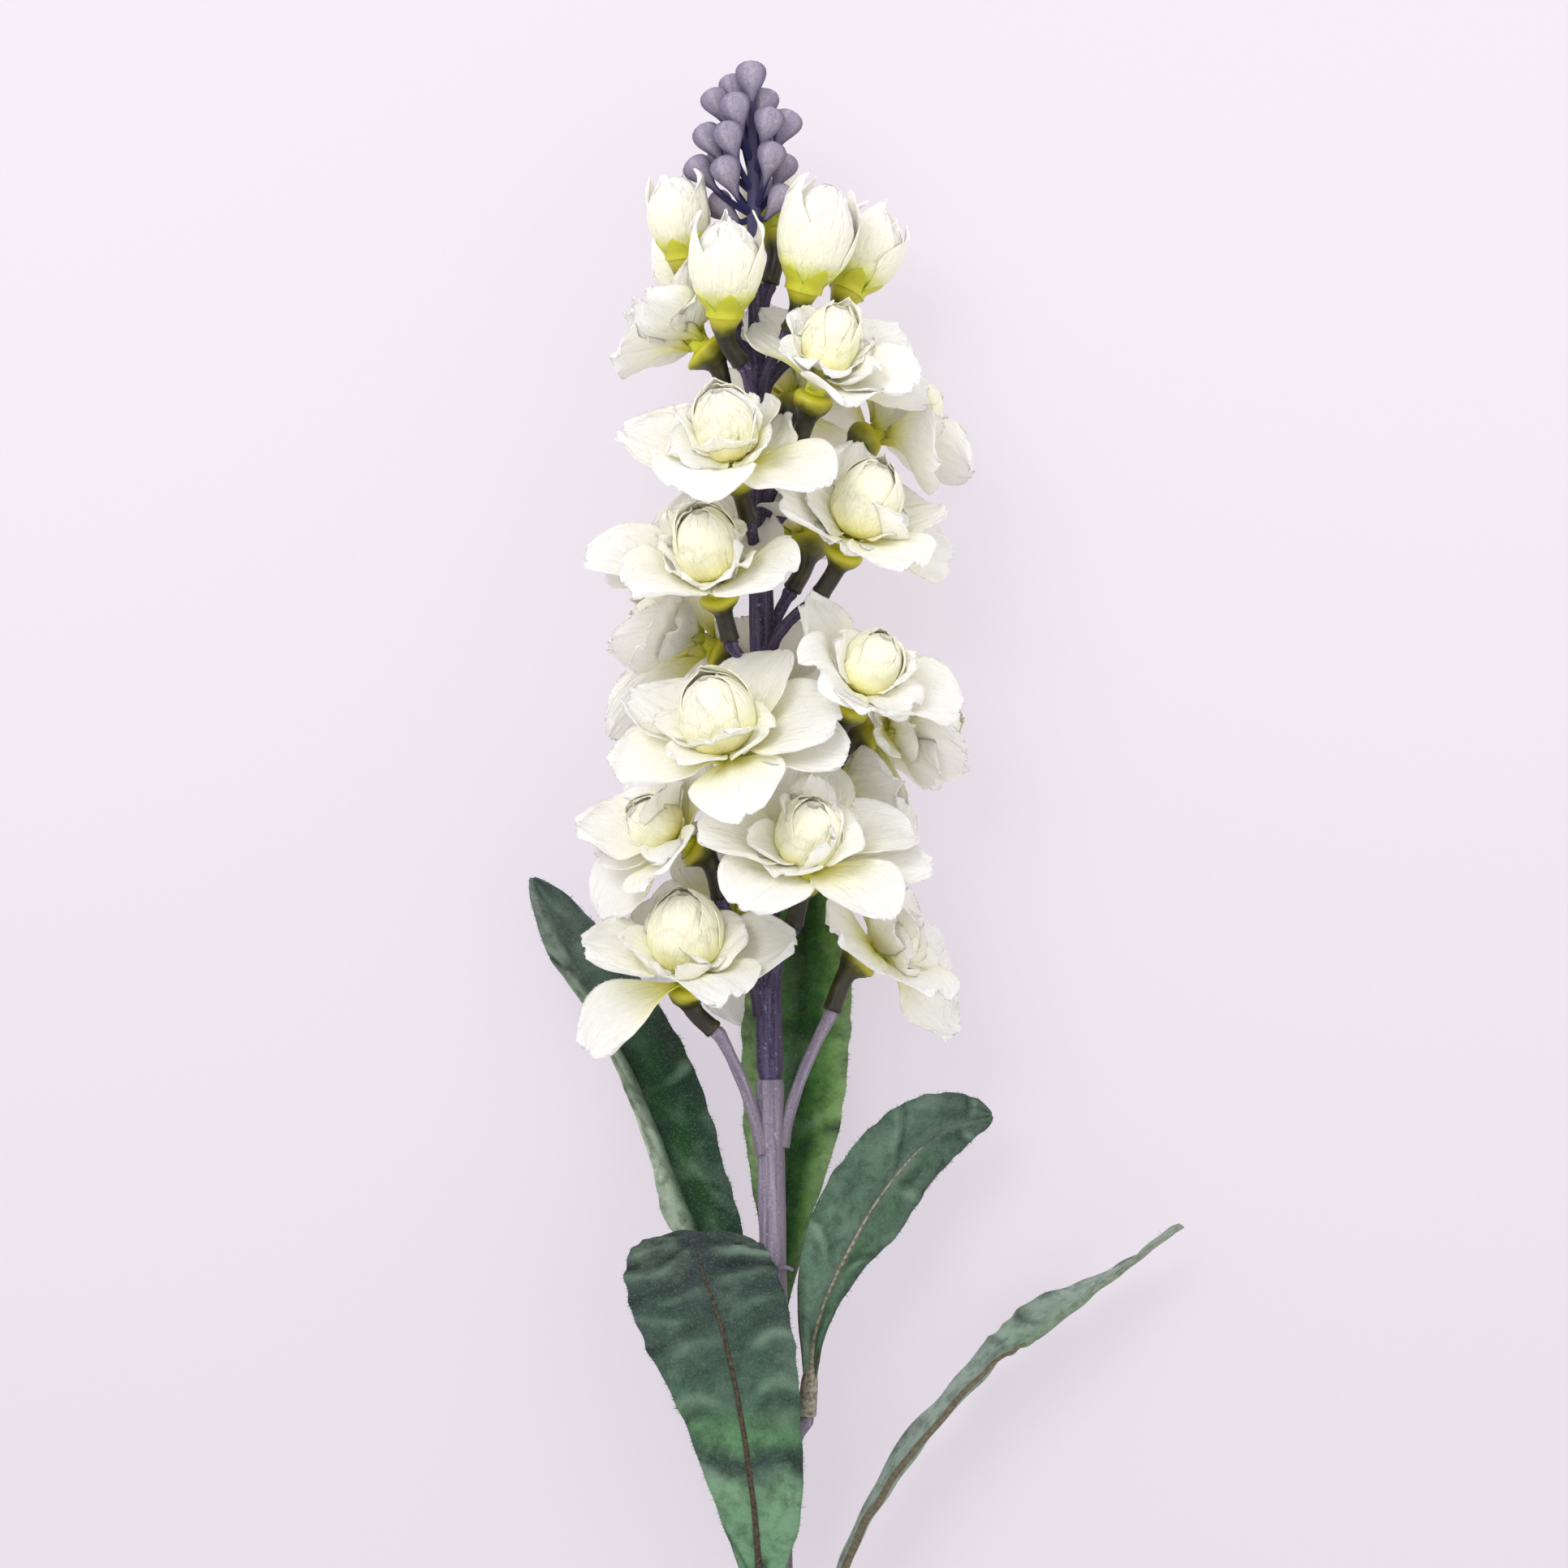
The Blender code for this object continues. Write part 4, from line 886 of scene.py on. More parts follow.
def add_tip_bud(shape, root, middle, heading, size, luck):
    """A flocked paddle-shaped bud on its stalk."""
    foot = middle - heading * 0.45 * BUD_LENGTH * size
    top = middle + heading * 0.52 * BUD_LENGTH * size
    t = np.linspace(0, 1, 14)[:, None]
    bend = foot - heading * 0.35 * np.linalg.norm(foot - root)
    stalk = bent_line(root, bend, foot, t[:-1])
    body = foot + (top - foot) * np.sin(np.linspace(0, 1, 20)[:, None] * math.pi / 2)
    share = np.linalg.norm(body - foot, axis=1) / np.linalg.norm(top - foot)
    widths = np.interp(share, BUD_STEPS, BUD_RADII) * BUD_RADIUS * size
    slim = np.interp(np.linspace(0, 1, len(stalk)), [0, 0.7, 1], [1.1, 1.0, 1.05]) * BUD_STALK
    angles = round_angles(BUD_SIDES)
    oval = 0.94 + luck.uniform(0.08, 0.22) * np.cos(2 * angles)
    oval = oval + 0.04 * np.cos(3 * angles + luck.uniform(0, ANY_START))
    radii = np.concatenate([slim, widths])[:, None] * oval
    shape.add_tube(np.vstack([stalk, body]), radii, BUD_SIDES, shaded=bud_shade)


def tip_buds(finishes):
    shape = Shape(shaded=0.0)
    crown, top = stem_point(CROWN_ROW - 3), place(*TOP_BUD)
    upward = unit(top - crown)
    t = np.linspace(0, 1, 30)
    path = crown + (top - crown) * t[:, None]
    shape.add_tube(path, CROWN_RADIUS * np.interp(t, [0, 0.5, 1], [1, 0.75, 0.4]), 14, shaded=0.85)
    add_tip_bud(shape, top - upward * 4 * MM, top + upward * 0.42 * BUD_LENGTH, upward, 1.12, luck_of(70))
    for number, pixel in enumerate(TIP_BUDS):
        middle = spot(*pixel)
        root = stem_point(min(pixel[1] + 62, CROWN_ROW - 34))
        heading = unit(middle - (root + (middle - root) * 0.4) + ALONG * 3 * MM)
        luck = luck_of(71, number)
        add_tip_bud(shape, root, middle, heading, luck.uniform(0.98, 1.14), luck)
    shape.piece("flocked_buds", finishes["buds"], "bud_tip", "buds")


class Leaf:
    """A leaf by its rib and its two edges, each a list of pixels with depths in mm, from foot to tip."""

    def __init__(self, name, foot, root, rib, left, right):
        self.name = name
        self.foot = spot(*foot)
        self.root = root
        self.lines = [np.array([spot(*pixel) for pixel in line]) for line in (left, rib, right)]


LEAVES = [
    Leaf("left", (914, 1645, 0), 1705,
         rib=((906, 1600, 0), (862, 1520, -2), (830, 1440, -6), (796, 1355, -10), (758, 1275, -12),
              (706, 1180, -12), (656, 1082, -10)),
         left=((900, 1598, 1), (823, 1508, 3), (803, 1432, 0), (768, 1335, -5), (724, 1245, -9),
               (672, 1168, -11), (648, 1080, -10)),
         right=((912, 1602, 1), (914, 1516, 2), (890, 1430, -2), (862, 1335, -7), (818, 1248, -10),
                (745, 1150, -12), (672, 1080, -10))),
    Leaf("back", (962, 1660, -8), 1720,
         rib=((962, 1610, -11), (968, 1500, -14), (976, 1400, -16), (983, 1290, -17), (986, 1190, -18),
              (990, 1100, -20), (996, 1036, -20)),
         left=((955, 1608, -10), (934, 1500, -11), (917, 1390, -12), (914, 1290, -13), (924, 1190, -15),
               (950, 1100, -18), (990, 1034, -20)),
         right=((970, 1612, -10), (1000, 1500, -12), (1034, 1390, -13), (1046, 1290, -14), (1048, 1200, -16),
                (1034, 1105, -18), (1002, 1034, -20))),
    Leaf("right", (994, 1745, -1), 1810,
         rib=((998, 1695, -1), (1008, 1630, -3), (1036, 1560, -5), (1076, 1487, -7), (1124, 1425, -8),
              (1170, 1390, -8), (1222, 1374, -7)),
         left=((990, 1693, 0), (984, 1570, 1), (1008, 1480, 0), (1058, 1405, -1), (1120, 1356, -3),
               (1178, 1347, -5), (1218, 1362, -7)),
         right=((1006, 1697, 0), (1018, 1640, 1), (1060, 1568, 0), (1106, 1520, -2), (1150, 1455, -4),
                (1192, 1410, -6), (1224, 1384, -7))),
    Leaf("front", (950, 2040, 7), 2110,
         rib=((938, 1985, 8), (930, 1870, 13), (912, 1740, 17), (890, 1640, 18), (864, 1560, 16),
              (862, 1518, 10), (866, 1560, 3)),
         left=((930, 1985, 9), (884, 1860, 15), (838, 1740, 20), (792, 1650, 21), (770, 1575, 17),
               (790, 1530, 11), (846, 1562, 3)),
         right=((946, 1985, 9), (986, 1870, 14), (986, 1740, 18), (976, 1640, 18), (956, 1562, 15),
                (930, 1532, 10), (884, 1564, 3))),
    Leaf("low_right", (1000, 2160, 1), 2230,
         rib=((1004, 2095, 2), (1040, 1935, 3), (1103, 1818, 3), (1219, 1686, 2), (1285, 1642, 0),
              (1372, 1572, -4), (1456, 1510, -8)),
         left=((998, 2093, 2), (1030, 1932, -3), (1106, 1786, -8), (1200, 1672, -11), (1262, 1610, -12),
               (1360, 1568, -12), (1452, 1508, -9)),
         right=((1010, 2097, 1), (1046, 1925, -6), (1112, 1806, -12), (1212, 1682, -16), (1280, 1640, -17),
                (1368, 1570, -16), (1458, 1512, -10))),
]


LEAF_GRID = (130, 25)
CREASE_WIDTH = 0.014
FELT = 0.6 * MM
ROUND_FROM = 0.93
FIBRE_SPACING = 0.22 * MM
FIBRE_LENGTH = 0.75 * MM

# How far up each leaf its rib shows, and where its blade is creased across, as shares of its length
RIB_ENDS = {"left": 0.16, "back": 0.2, "right": 0.72, "front": 0.76, "low_right": 0.62}
CREASES = {"left": (0.5, 0.8), "back": (0.3, 0.55), "right": (0.34, 0.62, 0.86),
           "front": (0.08, 0.25, 0.33, 0.5, 0.58, 0.64, 0.69, 0.74, 0.8), "low_right": (0.55, 0.66)}


def felt_relief(v, u, luck, creases):
    """How far in mm a leaf's felt stands off its smooth form, and a mark from -1 to 1 for painted highlight
    on its crests and painted shade in its folds and hollows.
    """
    ripple = 0.5 * np.sin(17 * v + luck.uniform(0, ANY_START) + 2 * u) * np.abs(u) ** 2
    ripple = ripple + 0.25 * np.sin(41 * v + luck.uniform(0, ANY_START) - 3 * u) * np.abs(u) ** 3
    for _ in range(6):
        heading, pace = luck.uniform(0, ANY_START), luck.uniform(14, 38)
        way = v * 2.5 * math.cos(heading) + u * 0.5 * math.sin(heading)
        ripple = ripple + 0.15 * np.sin(pace * way + heading)
    fold = 0.25 * np.abs(u) ** 10 - 0.5 * np.clip(ripple, -1, 1)
    for crease in creases:
        wander = crease + luck.uniform(-0.06, 0.06) * u
        beside = v - wander - 0.018 * wave(luck, 2, 6, u)
        line = np.exp(-np.abs(beside) / CREASE_WIDTH)
        line = line * np.clip(3 * np.abs(u) + luck.uniform(-0.5, 0.3), 0, 1)
        beside = beside - luck.choice([-0.03, 0.03])
        crest = np.exp(-(beside / CREASE_WIDTH) ** 2) * np.clip(2 * np.abs(u), 0, 1)
        ripple = ripple - luck.uniform(0.5, 1.1) * line + 0.5 * crest
        fold = fold + luck.uniform(0.5, 1.0) * line - 0.6 * crest
    return ripple, np.clip(fold, -1, 1)


def tapered(count, shares, radii):
    """Radii at even steps of a length, from those in mm at shares of it."""
    return np.interp(np.linspace(0, 1, count), shares, radii) * MM


def felt_leaf(number, leaf):
    """A leaf of flocked felt: its blade, the rib moulded on it, its stalk, and fibres along its rim."""
    shape = Shape(across=0.5, up_leaf=0.0, rib=0.0, fold=0.0)
    rows, columns = LEAF_GRID
    left, rib, right = (along_line(line, rows) for line in leaf.lines)
    normal = units(np.cross(right - left, np.gradient(rib, axis=0)))
    luck = luck_of(80, number)
    v, u = np.meshgrid(np.linspace(0, 1, rows), np.linspace(-1, 1, columns), indexing="ij")
    edge = np.where(u[..., None] < 0, left[:, None], right[:, None])
    reach = edge - rib[:, None]
    bulge = 0.07 * np.linalg.norm(reach, axis=2) * np.sin(math.pi * np.abs(u))
    ripple, fold = felt_relief(v, u, luck, CREASES[leaf.name])
    reach = reach * np.sqrt(1 - np.minimum(ease(v, ROUND_FROM), 0.98) ** 2)[..., None]
    sheet = rib[:, None] + reach * np.abs(u)[..., None]
    lift = bulge + ripple * MM * np.sin(math.pi * np.clip(v * 2, 0, 0.5))
    sheet = sheet + normal[:, None] * lift[..., None]
    trim = 0.012 * np.sin(60 * v + luck.uniform(0, ANY_START)) + 0.01 * np.sin(97 * v)
    sheet = off_floor(sheet + reach * (trim * np.abs(u) ** 4)[..., None], FELT / 2)
    run = np.linalg.norm(rib[-1] - rib[0])
    flat = np.stack([np.linalg.norm(reach, axis=2) * u, v * run], axis=2) + number * 0.3
    shape.add_blade(sheet, FELT, flat, across=(u + 1) / 2, up_leaf=v, fold=fold)
    ribbed = int(RIB_ENDS[leaf.name] * rows)
    for side in (-1, 1):
        line = sheet[:ribbed, columns // 2] + side * normal[:ribbed] * 0.45 * FELT
        radii = tapered(ribbed, [0, 0.15, 0.7, 1], [1.3, 0.9, 0.55, 0.15])
        shape.add_tube(line, radii, 10, rib=1.0, up_leaf=0.5, across=0.5)
    start, after = leaf.lines[1][:2]
    step = after - start
    stalk = along_line(np.array([leaf.foot, leaf.foot + (start - leaf.foot) * 0.75, start + step * 0.05,
                                 start + step * 0.25]), 24)
    shape.add_tube(stalk, tapered(24, [0, 0.03, 0.4, 0.75, 1], [2.2, 2.4, 2.1, 1.6, 0.9]), 16, rib=1.0,
                   across=0.5)
    add_fibres(shape, sheet, luck)
    return shape


def add_fibres(shape, sheet, luck):
    """Felt fibres that stand out of a leaf's rim."""
    columns = sheet.shape[1]
    for column, inner, across in ((0, 1, 0.0), (columns - 1, columns - 2, 1.0)):
        edge = sheet[:, column]
        outward = units(edge - sheet[:, inner])
        run = run_of(edge)
        count = int(run[-1] / FIBRE_SPACING)
        spots = luck.uniform(0.02, 1, count) * run[-1]
        root, reach = points_at(run, edge, spots), points_at(run, outward, spots)
        stray = luck.normal(0, 0.55, (count, 3))
        tips = root + (reach + stray) * (FIBRE_LENGTH * luck.uniform(0.2, 1, count)[:, None])
        spread = units(np.cross(reach, stray)) * 0.07 * MM
        add_strands(shape, root, spread, tips, across=across, up_leaf=np.repeat(spots / run[-1], 3))


def linear(code):
    """An sRGB hex colour as the linear values that a shader takes."""
    channels = [int(code[start:start + 2], 16) / 255 for start in (1, 3, 5)]
    return [c / 12.92 if c <= 0.04045 else ((c + 0.055) / 1.055) ** 2.4 for c in channels] + [1.0]


def node(material, kind, output, stops=(), **given):
    """Adds a node and returns one of its outputs. Lower-case names are its settings, the others its sockets.

    _3 is socket number 3, a hex code is a colour, and stops are a ramp's places and colours.
    """
    found = material.node_tree.nodes.new("ShaderNode" + kind)
    for name, value in given.items():
        if name[0].islower():
            setattr(found, name, value)
    for name, value in given.items():
        if not name[0].islower():
            put(material, found.inputs[int(name[1:]) if name[0] == "_" else name.replace("_", " ")], value)
    for position, _ in stops[2:]:
        found.color_ramp.elements.new(position)
    for element, (position, code) in zip(found.color_ramp.elements if stops else (), stops):
        element.position, element.color = position, linear(code)
    return found.outputs[output]


def put(material, socket, value):
    """Links a socket or sets its value. None leaves it as it is."""
    if isinstance(value, bpy.types.NodeSocket):
        material.node_tree.links.new(value, socket)
    elif value is not None:
        socket.default_value = linear(value) if isinstance(value, str) else value


def new_material(name):
    material = bpy.data.materials.new(name)
    material.use_nodes = True
    return material


def finish(material, **sockets):
    """Sets a material's Principled shader, or links nodes to it."""
    shader = material.node_tree.nodes["Principled BSDF"]
    for name, value in sockets.items():
        put(material, shader.inputs[name.replace("_", " ")], value)
    return material


def petal_cloth():
    """Woven polyester, hot-pressed and dyed at the claw: matt, faintly ribbed, thin enough to glow, with
    faint streaks of painted shade along its pleats.
    """
    m = new_material("petal_cloth_woven_polyester")
    uv = node(m, "UVMap", "UV", uv_map="flat")
    from_claw, closed, tone = (
        node(m, "Attribute", "Fac", attribute_name=mark) for mark in ("from_claw", "closed", "tone"))
    # Sizes of the patterns across the petal and along it, in mm
    on_cloth, along, grid, soft, crumple = (
        node(m, "Mapping", "Vector", Vector=uv, Scale=(1 / (wide * MM), 1 / (long * MM), 1))
        for wide, long in ((9, 14), (0.9, 16), (10, 10), (3, 10), (1.6, 2.6)))
    patches, streaks, creases, wrinkles = (
        node(m, "TexNoise", "Fac", Vector=space, Scale=1.0, Detail=detail, Roughness=rough, Distortion=bent)
        for space, detail, rough, bent in (
            (on_cloth, 3.0, 0.5, 0.0), (along, 4.0, 0.6, 0.0), (soft, 3.0, 0.6, 0.0),
            (crumple, 3.0, 0.65, 1.2)))
    # Threads lie 0.25 mm apart on the real cloth, and are drawn 0.5 mm apart here so that they show
    warp, weft = (node(m, "TexWave", "Fac", bands_direction=way, Vector=grid, Scale=6.3) for way in "XY")
    weave = node(m, "Math", "Value", operation="ADD", _0=warp, _1=weft)
    reach = node(m, "Math", "Value", operation="MULTIPLY_ADD", _0=patches, _1=0.14, _2=from_claw)
    reach = node(m, "Math", "Value", operation="SUBTRACT", _0=reach, _1=0.07)
    colour, egg, bud = (node(m, "ValToRGB", "Color", Fac=reach, stops=stops) for stops in (
        [(0.0, "#BFCB2C"), (0.08, "#E8E24C"), (0.18, "#F9F18C"), (0.34, "#FDF8C2"), (0.58, "#FDFBE9"),
         (1.0, "#FCFBF7")],
        [(0.0, "#D3D63A"), (0.1, "#F4EE80"), (0.3, "#FCF8BC"), (0.6, "#FEFBDA"), (1.0, "#FEFCEA")],
        [(0.0, "#A3B81C"), (0.11, "#BFCD30"), (0.2, "#E9EA8C"), (0.32, "#FCFADC"), (1.0, "#FDFBF6")]))
    is_egg = node(m, "Math", "Value", operation="GREATER_THAN", _0=closed, _1=0.9)
    is_bud = node(m, "Math", "Value", operation="COMPARE", _0=closed, _1=0.5, _2=0.1)
    # Painted shade: faint warm streaks along the pleats, in the same pattern that also bumps the cloth
    painted_pleat_shade = node(m, "MapRange", "Result", Value=streaks, From_Min=0.42, From_Max=0.7, To_Max=0.14)
    grey = node(m, "MapRange", "Result", Value=tone, From_Min=0.3, From_Max=1.0, To_Max=0.35)
    grey = node(m, "Math", "Value", operation="MULTIPLY", _0=grey, _1=reach)
    layers = ((is_egg, "MIX", egg), (is_bud, "MIX", bud), (painted_pleat_shade, "MULTIPLY", "#DCD5C4"),
              (grey, "MULTIPLY", "#EEEBF2"))
    for share, blend, over in layers:
        colour = node(m, "Mix", 2, data_type="RGBA", blend_type=blend, _0=share, _6=colour, _7=over)
    normal = None
    for height, depth in ((creases, 1.3), (wrinkles, 0.3), (streaks, 0.24), (weave, 0.012)):
        normal = node(m, "Bump", "Normal", Height=height, Distance=depth * MM, Normal=normal)
    # Closed petals lie on one another, so less light passes through them
    glow = node(m, "MapRange", "Result", Value=closed, From_Max=0.5, To_Min=0.75, To_Max=0.2)
    return finish(m, Base_Color=colour, Normal=normal, Roughness=0.75, IOR=1.5, Specular_IOR_Level=0.3,
                  Sheen_Weight=0.1, Sheen_Roughness=0.5, Subsurface_Weight=glow, Subsurface_Scale=0.0015,
                  Subsurface_Radius=(1.0, 0.98, 0.92))


def calyx_plastic():
    """Soft moulded polyethylene: satin and a little waxy, dyed bright at the cup and dark down the sleeve."""
    m = new_material("calyx_moulded_polyethylene")
    space = node(m, "TexCoord", "Object")
    spots = node(m, "TexNoise", "Fac", Vector=space, Scale=260.0, Detail=3.0)
    up_cup = node(m, "Attribute", "Fac", attribute_name="up_cup")
    height = node(m, "Math", "Value", operation="MULTIPLY_ADD", _0=spots, _1=0.24, _2=up_cup)
    height = node(m, "MapRange", "Result", Value=height, From_Min=0.12, From_Max=1.32)
    colour = node(m, "ValToRGB", "Color", Fac=height, stops=[
        (0.0, "#1C170C"), (0.42, "#201D0A"), (0.52, "#50500E"), (0.60, "#928E1E"), (0.70, "#C2BC2C"),
        (0.84, "#C8C430"), (1.0, "#C2C636")])
    patches = node(m, "MapRange", "Result", Value=spots, From_Min=0.45, From_Max=0.7, To_Max=0.12)
    colour = node(m, "Mix", 2, data_type="RGBA", _0=patches, _6=colour, _7="#8F8A2A")
    grain = node(m, "TexNoise", "Fac", Vector=space, Scale=900.0)
    normal = node(m, "Bump", "Normal", Height=grain, Distance=0.06 * MM)
    return finish(m, Base_Color=colour, Normal=normal, Roughness=0.42, IOR=1.51, Subsurface_Weight=0.15,
                  Subsurface_Scale=0.0015)


def flock(name, lit, deep, worn, specks, shade):
    """Short nylon flock on moulded plastic: matt, pale where its fibres stand, dark where they are worn, and
    darker still with painted shade where a piece's shaded mark is high.
    """
    m = new_material(name)
    space = node(m, "TexCoord", "Object")
    uv = node(m, "UVMap", "UV", uv_map="flat")
    along = node(m, "Mapping", "Vector", Vector=uv, Scale=(1 / (1.1 * MM), 1 / (26 * MM), 1))
    streaks, fine, dots = (
        node(m, "TexNoise", "Fac", Vector=where, Scale=scale, Detail=detail, Roughness=rough)
        for where, scale, detail, rough in (
            (along, 1.0, 4.0, 0.6), (space, 1500.0, 4.0, 0.7), (space, 700.0, 2.0, 0.5)))
    # Painted shade, from the shaded mark: down the sides and stalks of the buds, and down the stem's right
    # side
    painted_shade = node(m, "Attribute", "Fac", attribute_name="shaded")
    colour = lit
    layers = ((streaks, 0.38, 0.62, 1.0, deep), (fine, 0.5, 0.66, 0.6, worn), (dots, 0.64, 0.74, 0.6, specks),
              (painted_shade, 0.0, 1.0, 1.0, shade))
    for mask, least, most, share, over in layers:
        share = node(m, "MapRange", "Result", Value=mask, From_Min=least, From_Max=most, To_Max=share)
        colour = node(m, "Mix", 2, data_type="RGBA", _0=share, _6=colour, _7=over)
    normal = None
    for height, depth in ((streaks, 0.14), (fine, 0.2)):
        normal = node(m, "Bump", "Normal", Height=height, Distance=depth * MM, Normal=normal)
    return finish(m, Base_Color=colour, Normal=normal, Roughness=0.95, IOR=1.53, Specular_IOR_Level=0.15,
                  Sheen_Weight=0.12, Sheen_Roughness=0.5, Sheen_Tint="#CFC6DC")


def drawn_wire():
    """Drawn mild steel wire: bright, with fine marks along it."""
    m = new_material("stem_wire_drawn_steel")
    uv = node(m, "UVMap", "UV", uv_map="flat")
    along = node(m, "Mapping", "Vector", Vector=uv, Scale=(1 / (0.3 * MM), 1 / (30 * MM), 1))
    streaks = node(m, "TexNoise", "Fac", Vector=along, Scale=1.0, Detail=3.0)
    colour = node(m, "Mix", 2, data_type="RGBA", _0=streaks, _6="#8B8D90", _7="#B4B5B6")
    normal = node(m, "Bump", "Normal", Height=streaks, Distance=0.02 * MM)
    return finish(m, Base_Color=colour, Normal=normal, Metallic=1.0, Roughness=0.38)


# Each leaf's dyes: how much those across it count at its foot and at its tip, those across it from its left
# edge over its rib, those along it from foot to tip, and its rib's dark and light
LEAF_DYES = {
    "left": ((1.0, 0.25), ("#AEBCA8", "#A6B6A2", "#7E927C", "#213E24", "#1F4522", "#1B3A24", "#2A4032"),
             ((0.0, "#2C5A34"), (0.5, "#2C4A34"), (0.78, "#56645D"), (1.0, "#505C5C")),
             ("#33452E", "#5C6C50")),
    "back": ((0.85, 0.7), ("#9CBA84", "#86AE68", "#4E783A", "#1C3A18", "#3C6A2C", "#7AA65A", "#9CB882"),
             ((0.0, "#2C5A28"), (0.4, "#3E6E34"), (0.7, "#35592F"), (1.0, "#2A4A2A")),
             ("#24401E", "#4C6A3C")),
    "right": ((0.7, 0.25), ("#4A6454", "#5C7866", "#54725E", "#74847A", "#486C4C", "#46624E", "#46554C"),
              ((0.0, "#84866E"), (0.2, "#6A8A70"), (0.5, "#556F5A"), (0.8, "#4C5A54"), (1.0, "#46524C")),
              ("#7A6E58", "#A6A294")),
    "front": ((0.2, 0.15), ("#50685A", "#486252", "#43584C", "#445248", "#456052", "#4C6856", "#46604C"),
              ((0.0, "#5A7C60"), (0.1, "#6C9470"), (0.21, "#769C78"), (0.25, "#303E3C"), (0.29, "#5E8A5E"),
               (0.36, "#44604E"), (0.5, "#3B4C46"), (0.62, "#2F3A3C"), (0.75, "#2C3438"), (1.0, "#2E383C")),
              ("#3A3128", "#504639")),
    "low_right": ((0.6, 0.6), ("#9AA89E", "#94A49A", "#8C9E92", "#7F8A70", "#90A08E", "#849A88", "#94A29A"),
                  ((0.0, "#90A28F"), (0.5, "#889A8F"), (0.62, "#5C8060"), (0.8, "#909E94"), (1.0, "#A5A298")),
                  ("#5B5344", "#6C6553")),
}


def leaf_felt(name):
    """Needled felt with brushed-on dyes under a thin coat of flock: matt, cloudy, fuzzy at its rim, with
    painted shade in its folds and painted highlight on their crests.
    """
    shares, across_dyes, along_dyes, rib_dyes = LEAF_DYES[name]
    m = new_material("leaf_felt_flocked_" + name)
    space = node(m, "TexCoord", "Object")
    clouds, mist, flecks, fuzz = (
        node(m, "TexNoise", "Fac", Vector=space, Scale=scale, Detail=detail, Roughness=rough)
        for scale, detail, rough in (
            (95.0, 4.0, 0.6), (300.0, 5.0, 0.65), (900.0, 3.0, 0.6), (1700.0, 4.0, 0.75)))
    across, up_leaf, rib, fold = (
        node(m, "Attribute", "Fac", attribute_name=mark) for mark in ("across", "up_leaf", "rib", "fold"))
    share = node(m, "MapRange", "Result", Value=up_leaf, From_Min=0.45, From_Max=0.85, To_Min=shares[0],
                 To_Max=shares[1])
    across = node(m, "Math", "Value", operation="MULTIPLY_ADD", _0=clouds, _1=0.2, _2=across)
    across = node(m, "Math", "Value", operation="SUBTRACT", _0=across, _1=0.1)
    up_leaf = node(m, "Math", "Value", operation="MULTIPLY_ADD", _0=clouds, _1=0.12, _2=up_leaf)
    up_leaf = node(m, "Math", "Value", operation="SUBTRACT", _0=up_leaf, _1=0.06)
    stops = [(index / (len(across_dyes) - 1), code) for index, code in enumerate(across_dyes)]
    brushed = node(m, "ValToRGB", "Color", Fac=across, stops=stops)
    colour = node(m, "ValToRGB", "Color", Fac=up_leaf, stops=along_dyes)
    wood = node(m, "ValToRGB", "Color", Fac=flecks, stops=[
        (0.0, rib_dyes[0]), (0.4, rib_dyes[0]), (0.58, rib_dyes[1]), (0.7, rib_dyes[1]), (0.76, "#A8A094")])
    # The fold mark paints shade into creases and hollows and paints highlight onto the crests beside them
    layers = ((share, 0.0, 1.0, 1.0, brushed), (mist, 0.46, 0.66, 0.5, "#24342A"),
              (clouds, 0.52, 0.72, 0.22, "#8FA68F"), (fold, 0.0, 1.0, 0.8, "#222C2B"),
              (fold, -0.1, -1.0, 0.45, "#8DA790"), (rib, 0.0, 1.0, 1.0, wood),
              (fuzz, 0.52, 0.74, 0.22, "#A9B4A9"))
    for mask, least, most, share, over in layers:
        share = node(m, "MapRange", "Result", Value=mask, From_Min=least, From_Max=most, To_Max=share)
        colour = node(m, "Mix", 2, data_type="RGBA", _0=share, _6=colour, _7=over)
    normal = None
    for height, depth in ((clouds, 1.6), (mist, 0.7), (fuzz, 0.16)):
        normal = node(m, "Bump", "Normal", Height=height, Distance=depth * MM, Normal=normal)
    return finish(m, Base_Color=colour, Normal=normal, Roughness=0.92, IOR=1.5, Specular_IOR_Level=0.15,
                  Sheen_Weight=0.08, Sheen_Roughness=0.5, Sheen_Tint="#C9D2CC")


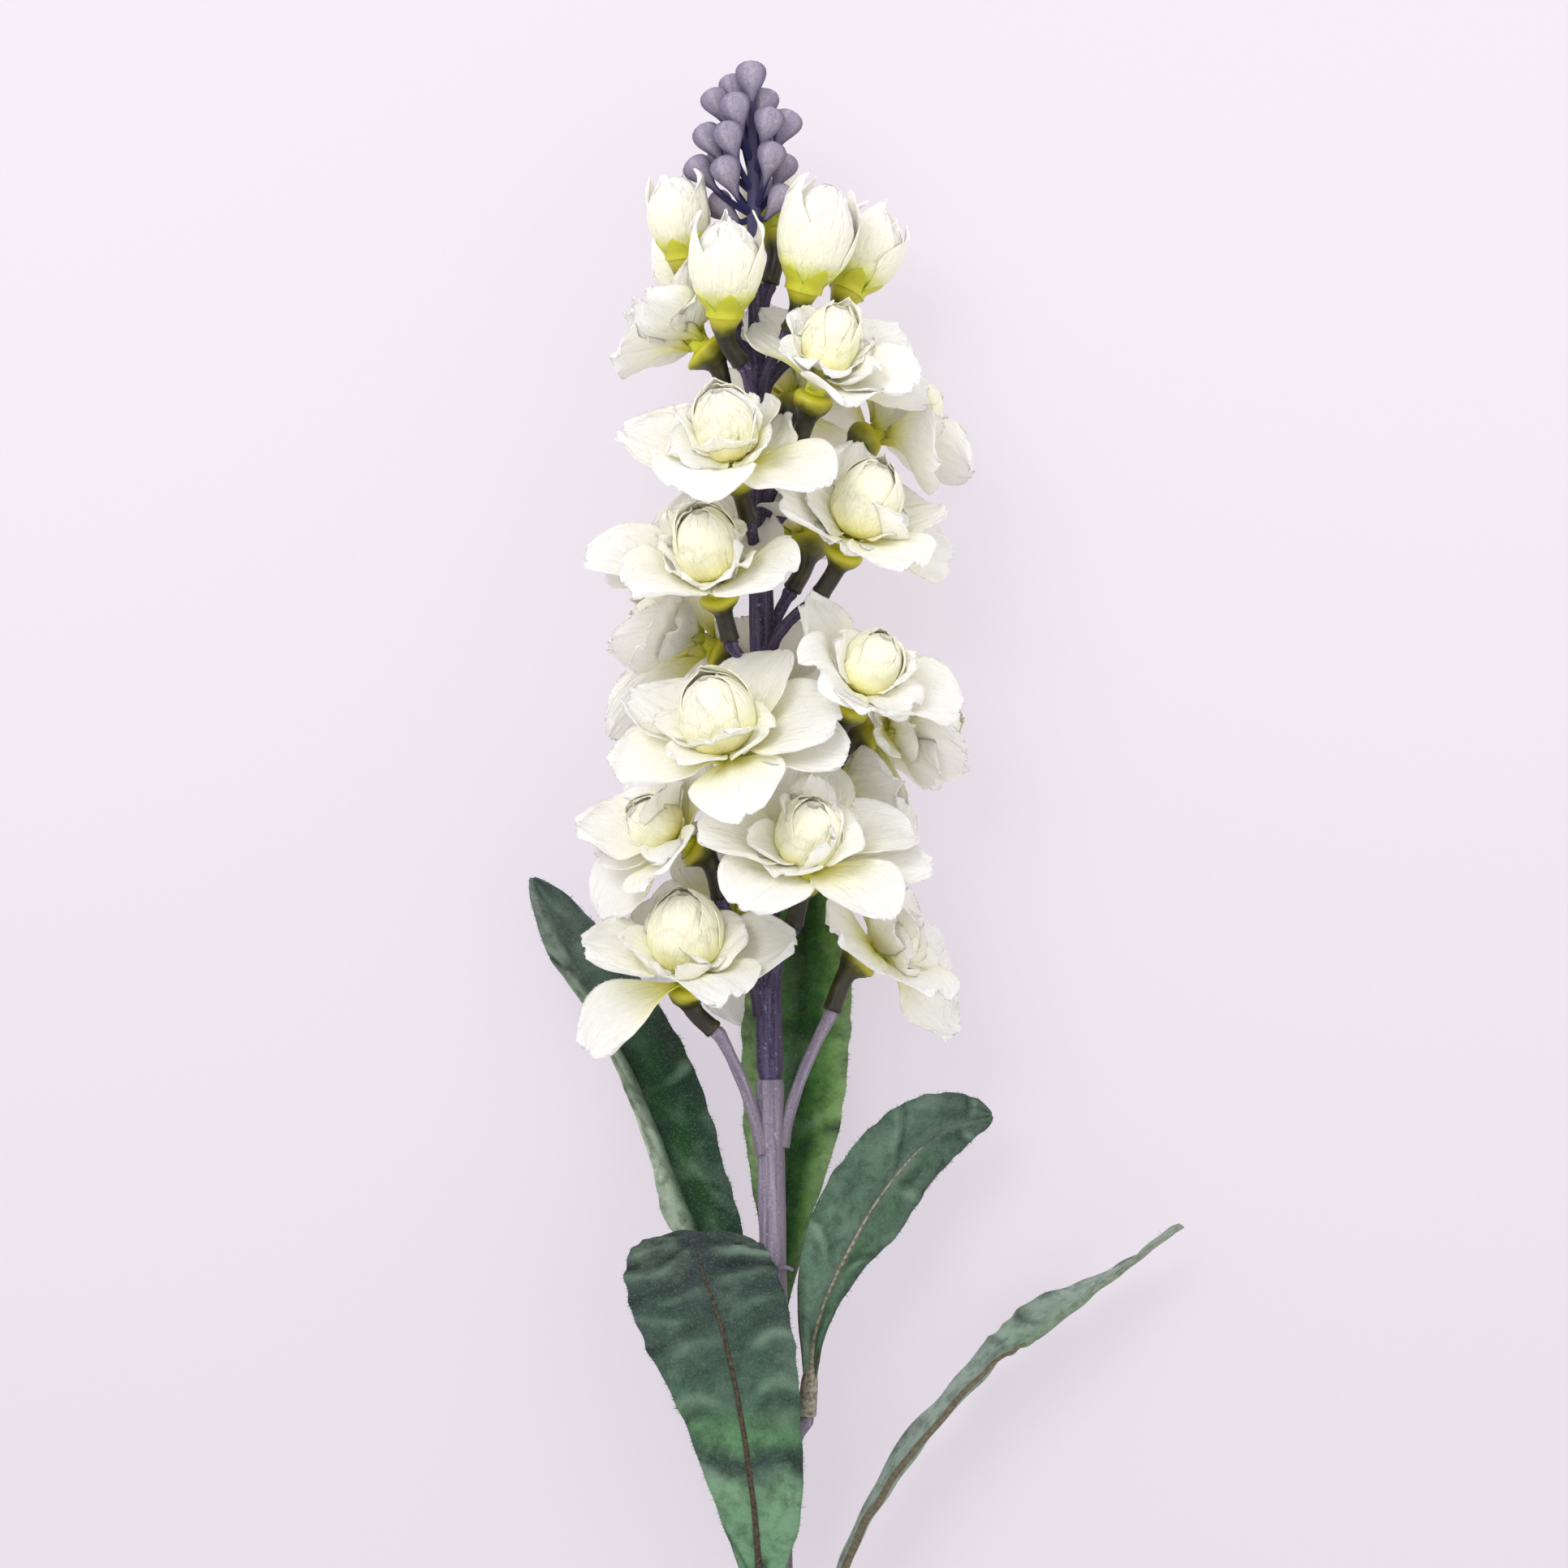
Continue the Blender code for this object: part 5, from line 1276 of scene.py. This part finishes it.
def floor_and_lights():
    """A pale panel whose glow is painted light that lifts the shadows under the flower and dims toward the
    bottom of the picture, under an even sky, with a soft key from the upper left and a fill.
    """
    mesh = bpy.data.meshes.new("pale_surface")
    reach = 6.0
    corners = [(-reach, -reach, 0), (reach, -reach, 0), (reach, reach, 0), (-reach, reach, 0)]
    mesh.from_pydata(corners, [], [(0, 1, 2, 3)])
    floor = placed("pale_surface", mesh)
    m = new_material("surface_opal_acrylic")
    space = node(m, "TexCoord", "Object")
    paper = node(m, "TexNoise", "Fac", Vector=space, Scale=700.0, Detail=3.0)
    colour = node(m, "Mix", 2, data_type="RGBA", _0=paper, _6="#7E7A7E", _7="#827E82")
    # Painted light: the glow fills in the shadows on the panel, and fades toward the bottom of the picture as
    # painted shade
    up_picture = node(m, "SeparateXYZ", "Y", Vector=space)
    share = node(m, "MapRange", "Result", interpolation_type="SMOOTHSTEP", Value=up_picture, From_Min=-0.25,
                 From_Max=0.35)
    glow = node(m, "MapRange", "Result", Value=share, To_Min=0.56, To_Max=0.67)
    tint = node(m, "Mix", 2, data_type="RGBA", _0=share, _6="#F5EAF6", _7="#F7F0FA")
    mesh.materials.append(finish(m, Base_Color=colour, Roughness=0.9, Emission_Color=tint,
                                 Emission_Strength=glow))
    world = bpy.data.worlds.new("soft_room")
    bpy.context.scene.world = world
    world.use_nodes = True
    background = world.node_tree.nodes["Background"]
    background.inputs["Color"].default_value = linear("#FEFDFD")
    background.inputs["Strength"].default_value = 0.92
    lamps = (("key", 0.9, 14.0, (-0.7, 0.8, 1.5)), ("fill", 1.4, 4.0, (1.1, -0.2, 1.1)))
    for name, size, energy, where in lamps:
        light = bpy.data.lights.new(name, "AREA")
        light.size = size
        light.energy = energy
        aim(placed(name, light), START + np.array(where), START)


def aim(thing, where, target):
    back = unit(where - target)
    right = unit(np.cross(ALONG, back))
    up = np.cross(back, right)
    rows = [[right[k], up[k], back[k], where[k]] for k in range(3)]
    thing.matrix_world = Matrix([*rows, [0, 0, 0, 1]])


def camera():
    """The photograph's view: square on to the stem, which fills the frame's height from its middle up."""
    data = bpy.data.cameras.new("camera")
    data.sensor_width = 36
    data.lens = 36 * VIEW_DISTANCE / (PICTURE_WIDTH * PIXEL)
    found = placed("camera", data)
    aim(found, EYE, START)
    bpy.context.scene.camera = found


def main():
    camera()
    floor_and_lights()
    bpy.context.scene.view_settings.view_transform = "Standard"
    cloth, plastic = petal_cloth(), calyx_plastic()
    finishes = {
        "stem": flock("stem_flocked_nylon", "#9A90A0", "#766C80", "#5E546A", "#C2BCC2", "#6A6066"),
        "spike": flock("spike_flocked_nylon", "#5E5674", "#322C4C", "#756C80", "#A099AA", "#3A3038"),
        "buds": flock("buds_flocked_nylon", "#B0A7B4", "#9890A4", "#757098", "#C6C0C8", "#302D56"),
        "wire": drawn_wire(),
    }
    for number, bloom in enumerate(BLOOMS):
        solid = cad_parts["petals_" + bloom.name]
        make = closed_bud if bloom.form == "bud" else open_bloom
        make(number, bloom, solid).piece("cloth_" + bloom.name, cloth, solid.name, "petals")
        calyx(number, bloom).piece("cup_" + bloom.name, plastic, "calyx_" + bloom.name, "calyx")
    for number, leaf in enumerate(LEAVES):
        shape, felt = felt_leaf(number, leaf), leaf_felt(leaf.name)
        shape.piece("felt_" + leaf.name, felt, "leaf_" + leaf.name, "leaves")
    stem_pieces(finishes)
    tip_buds(finishes)


main()
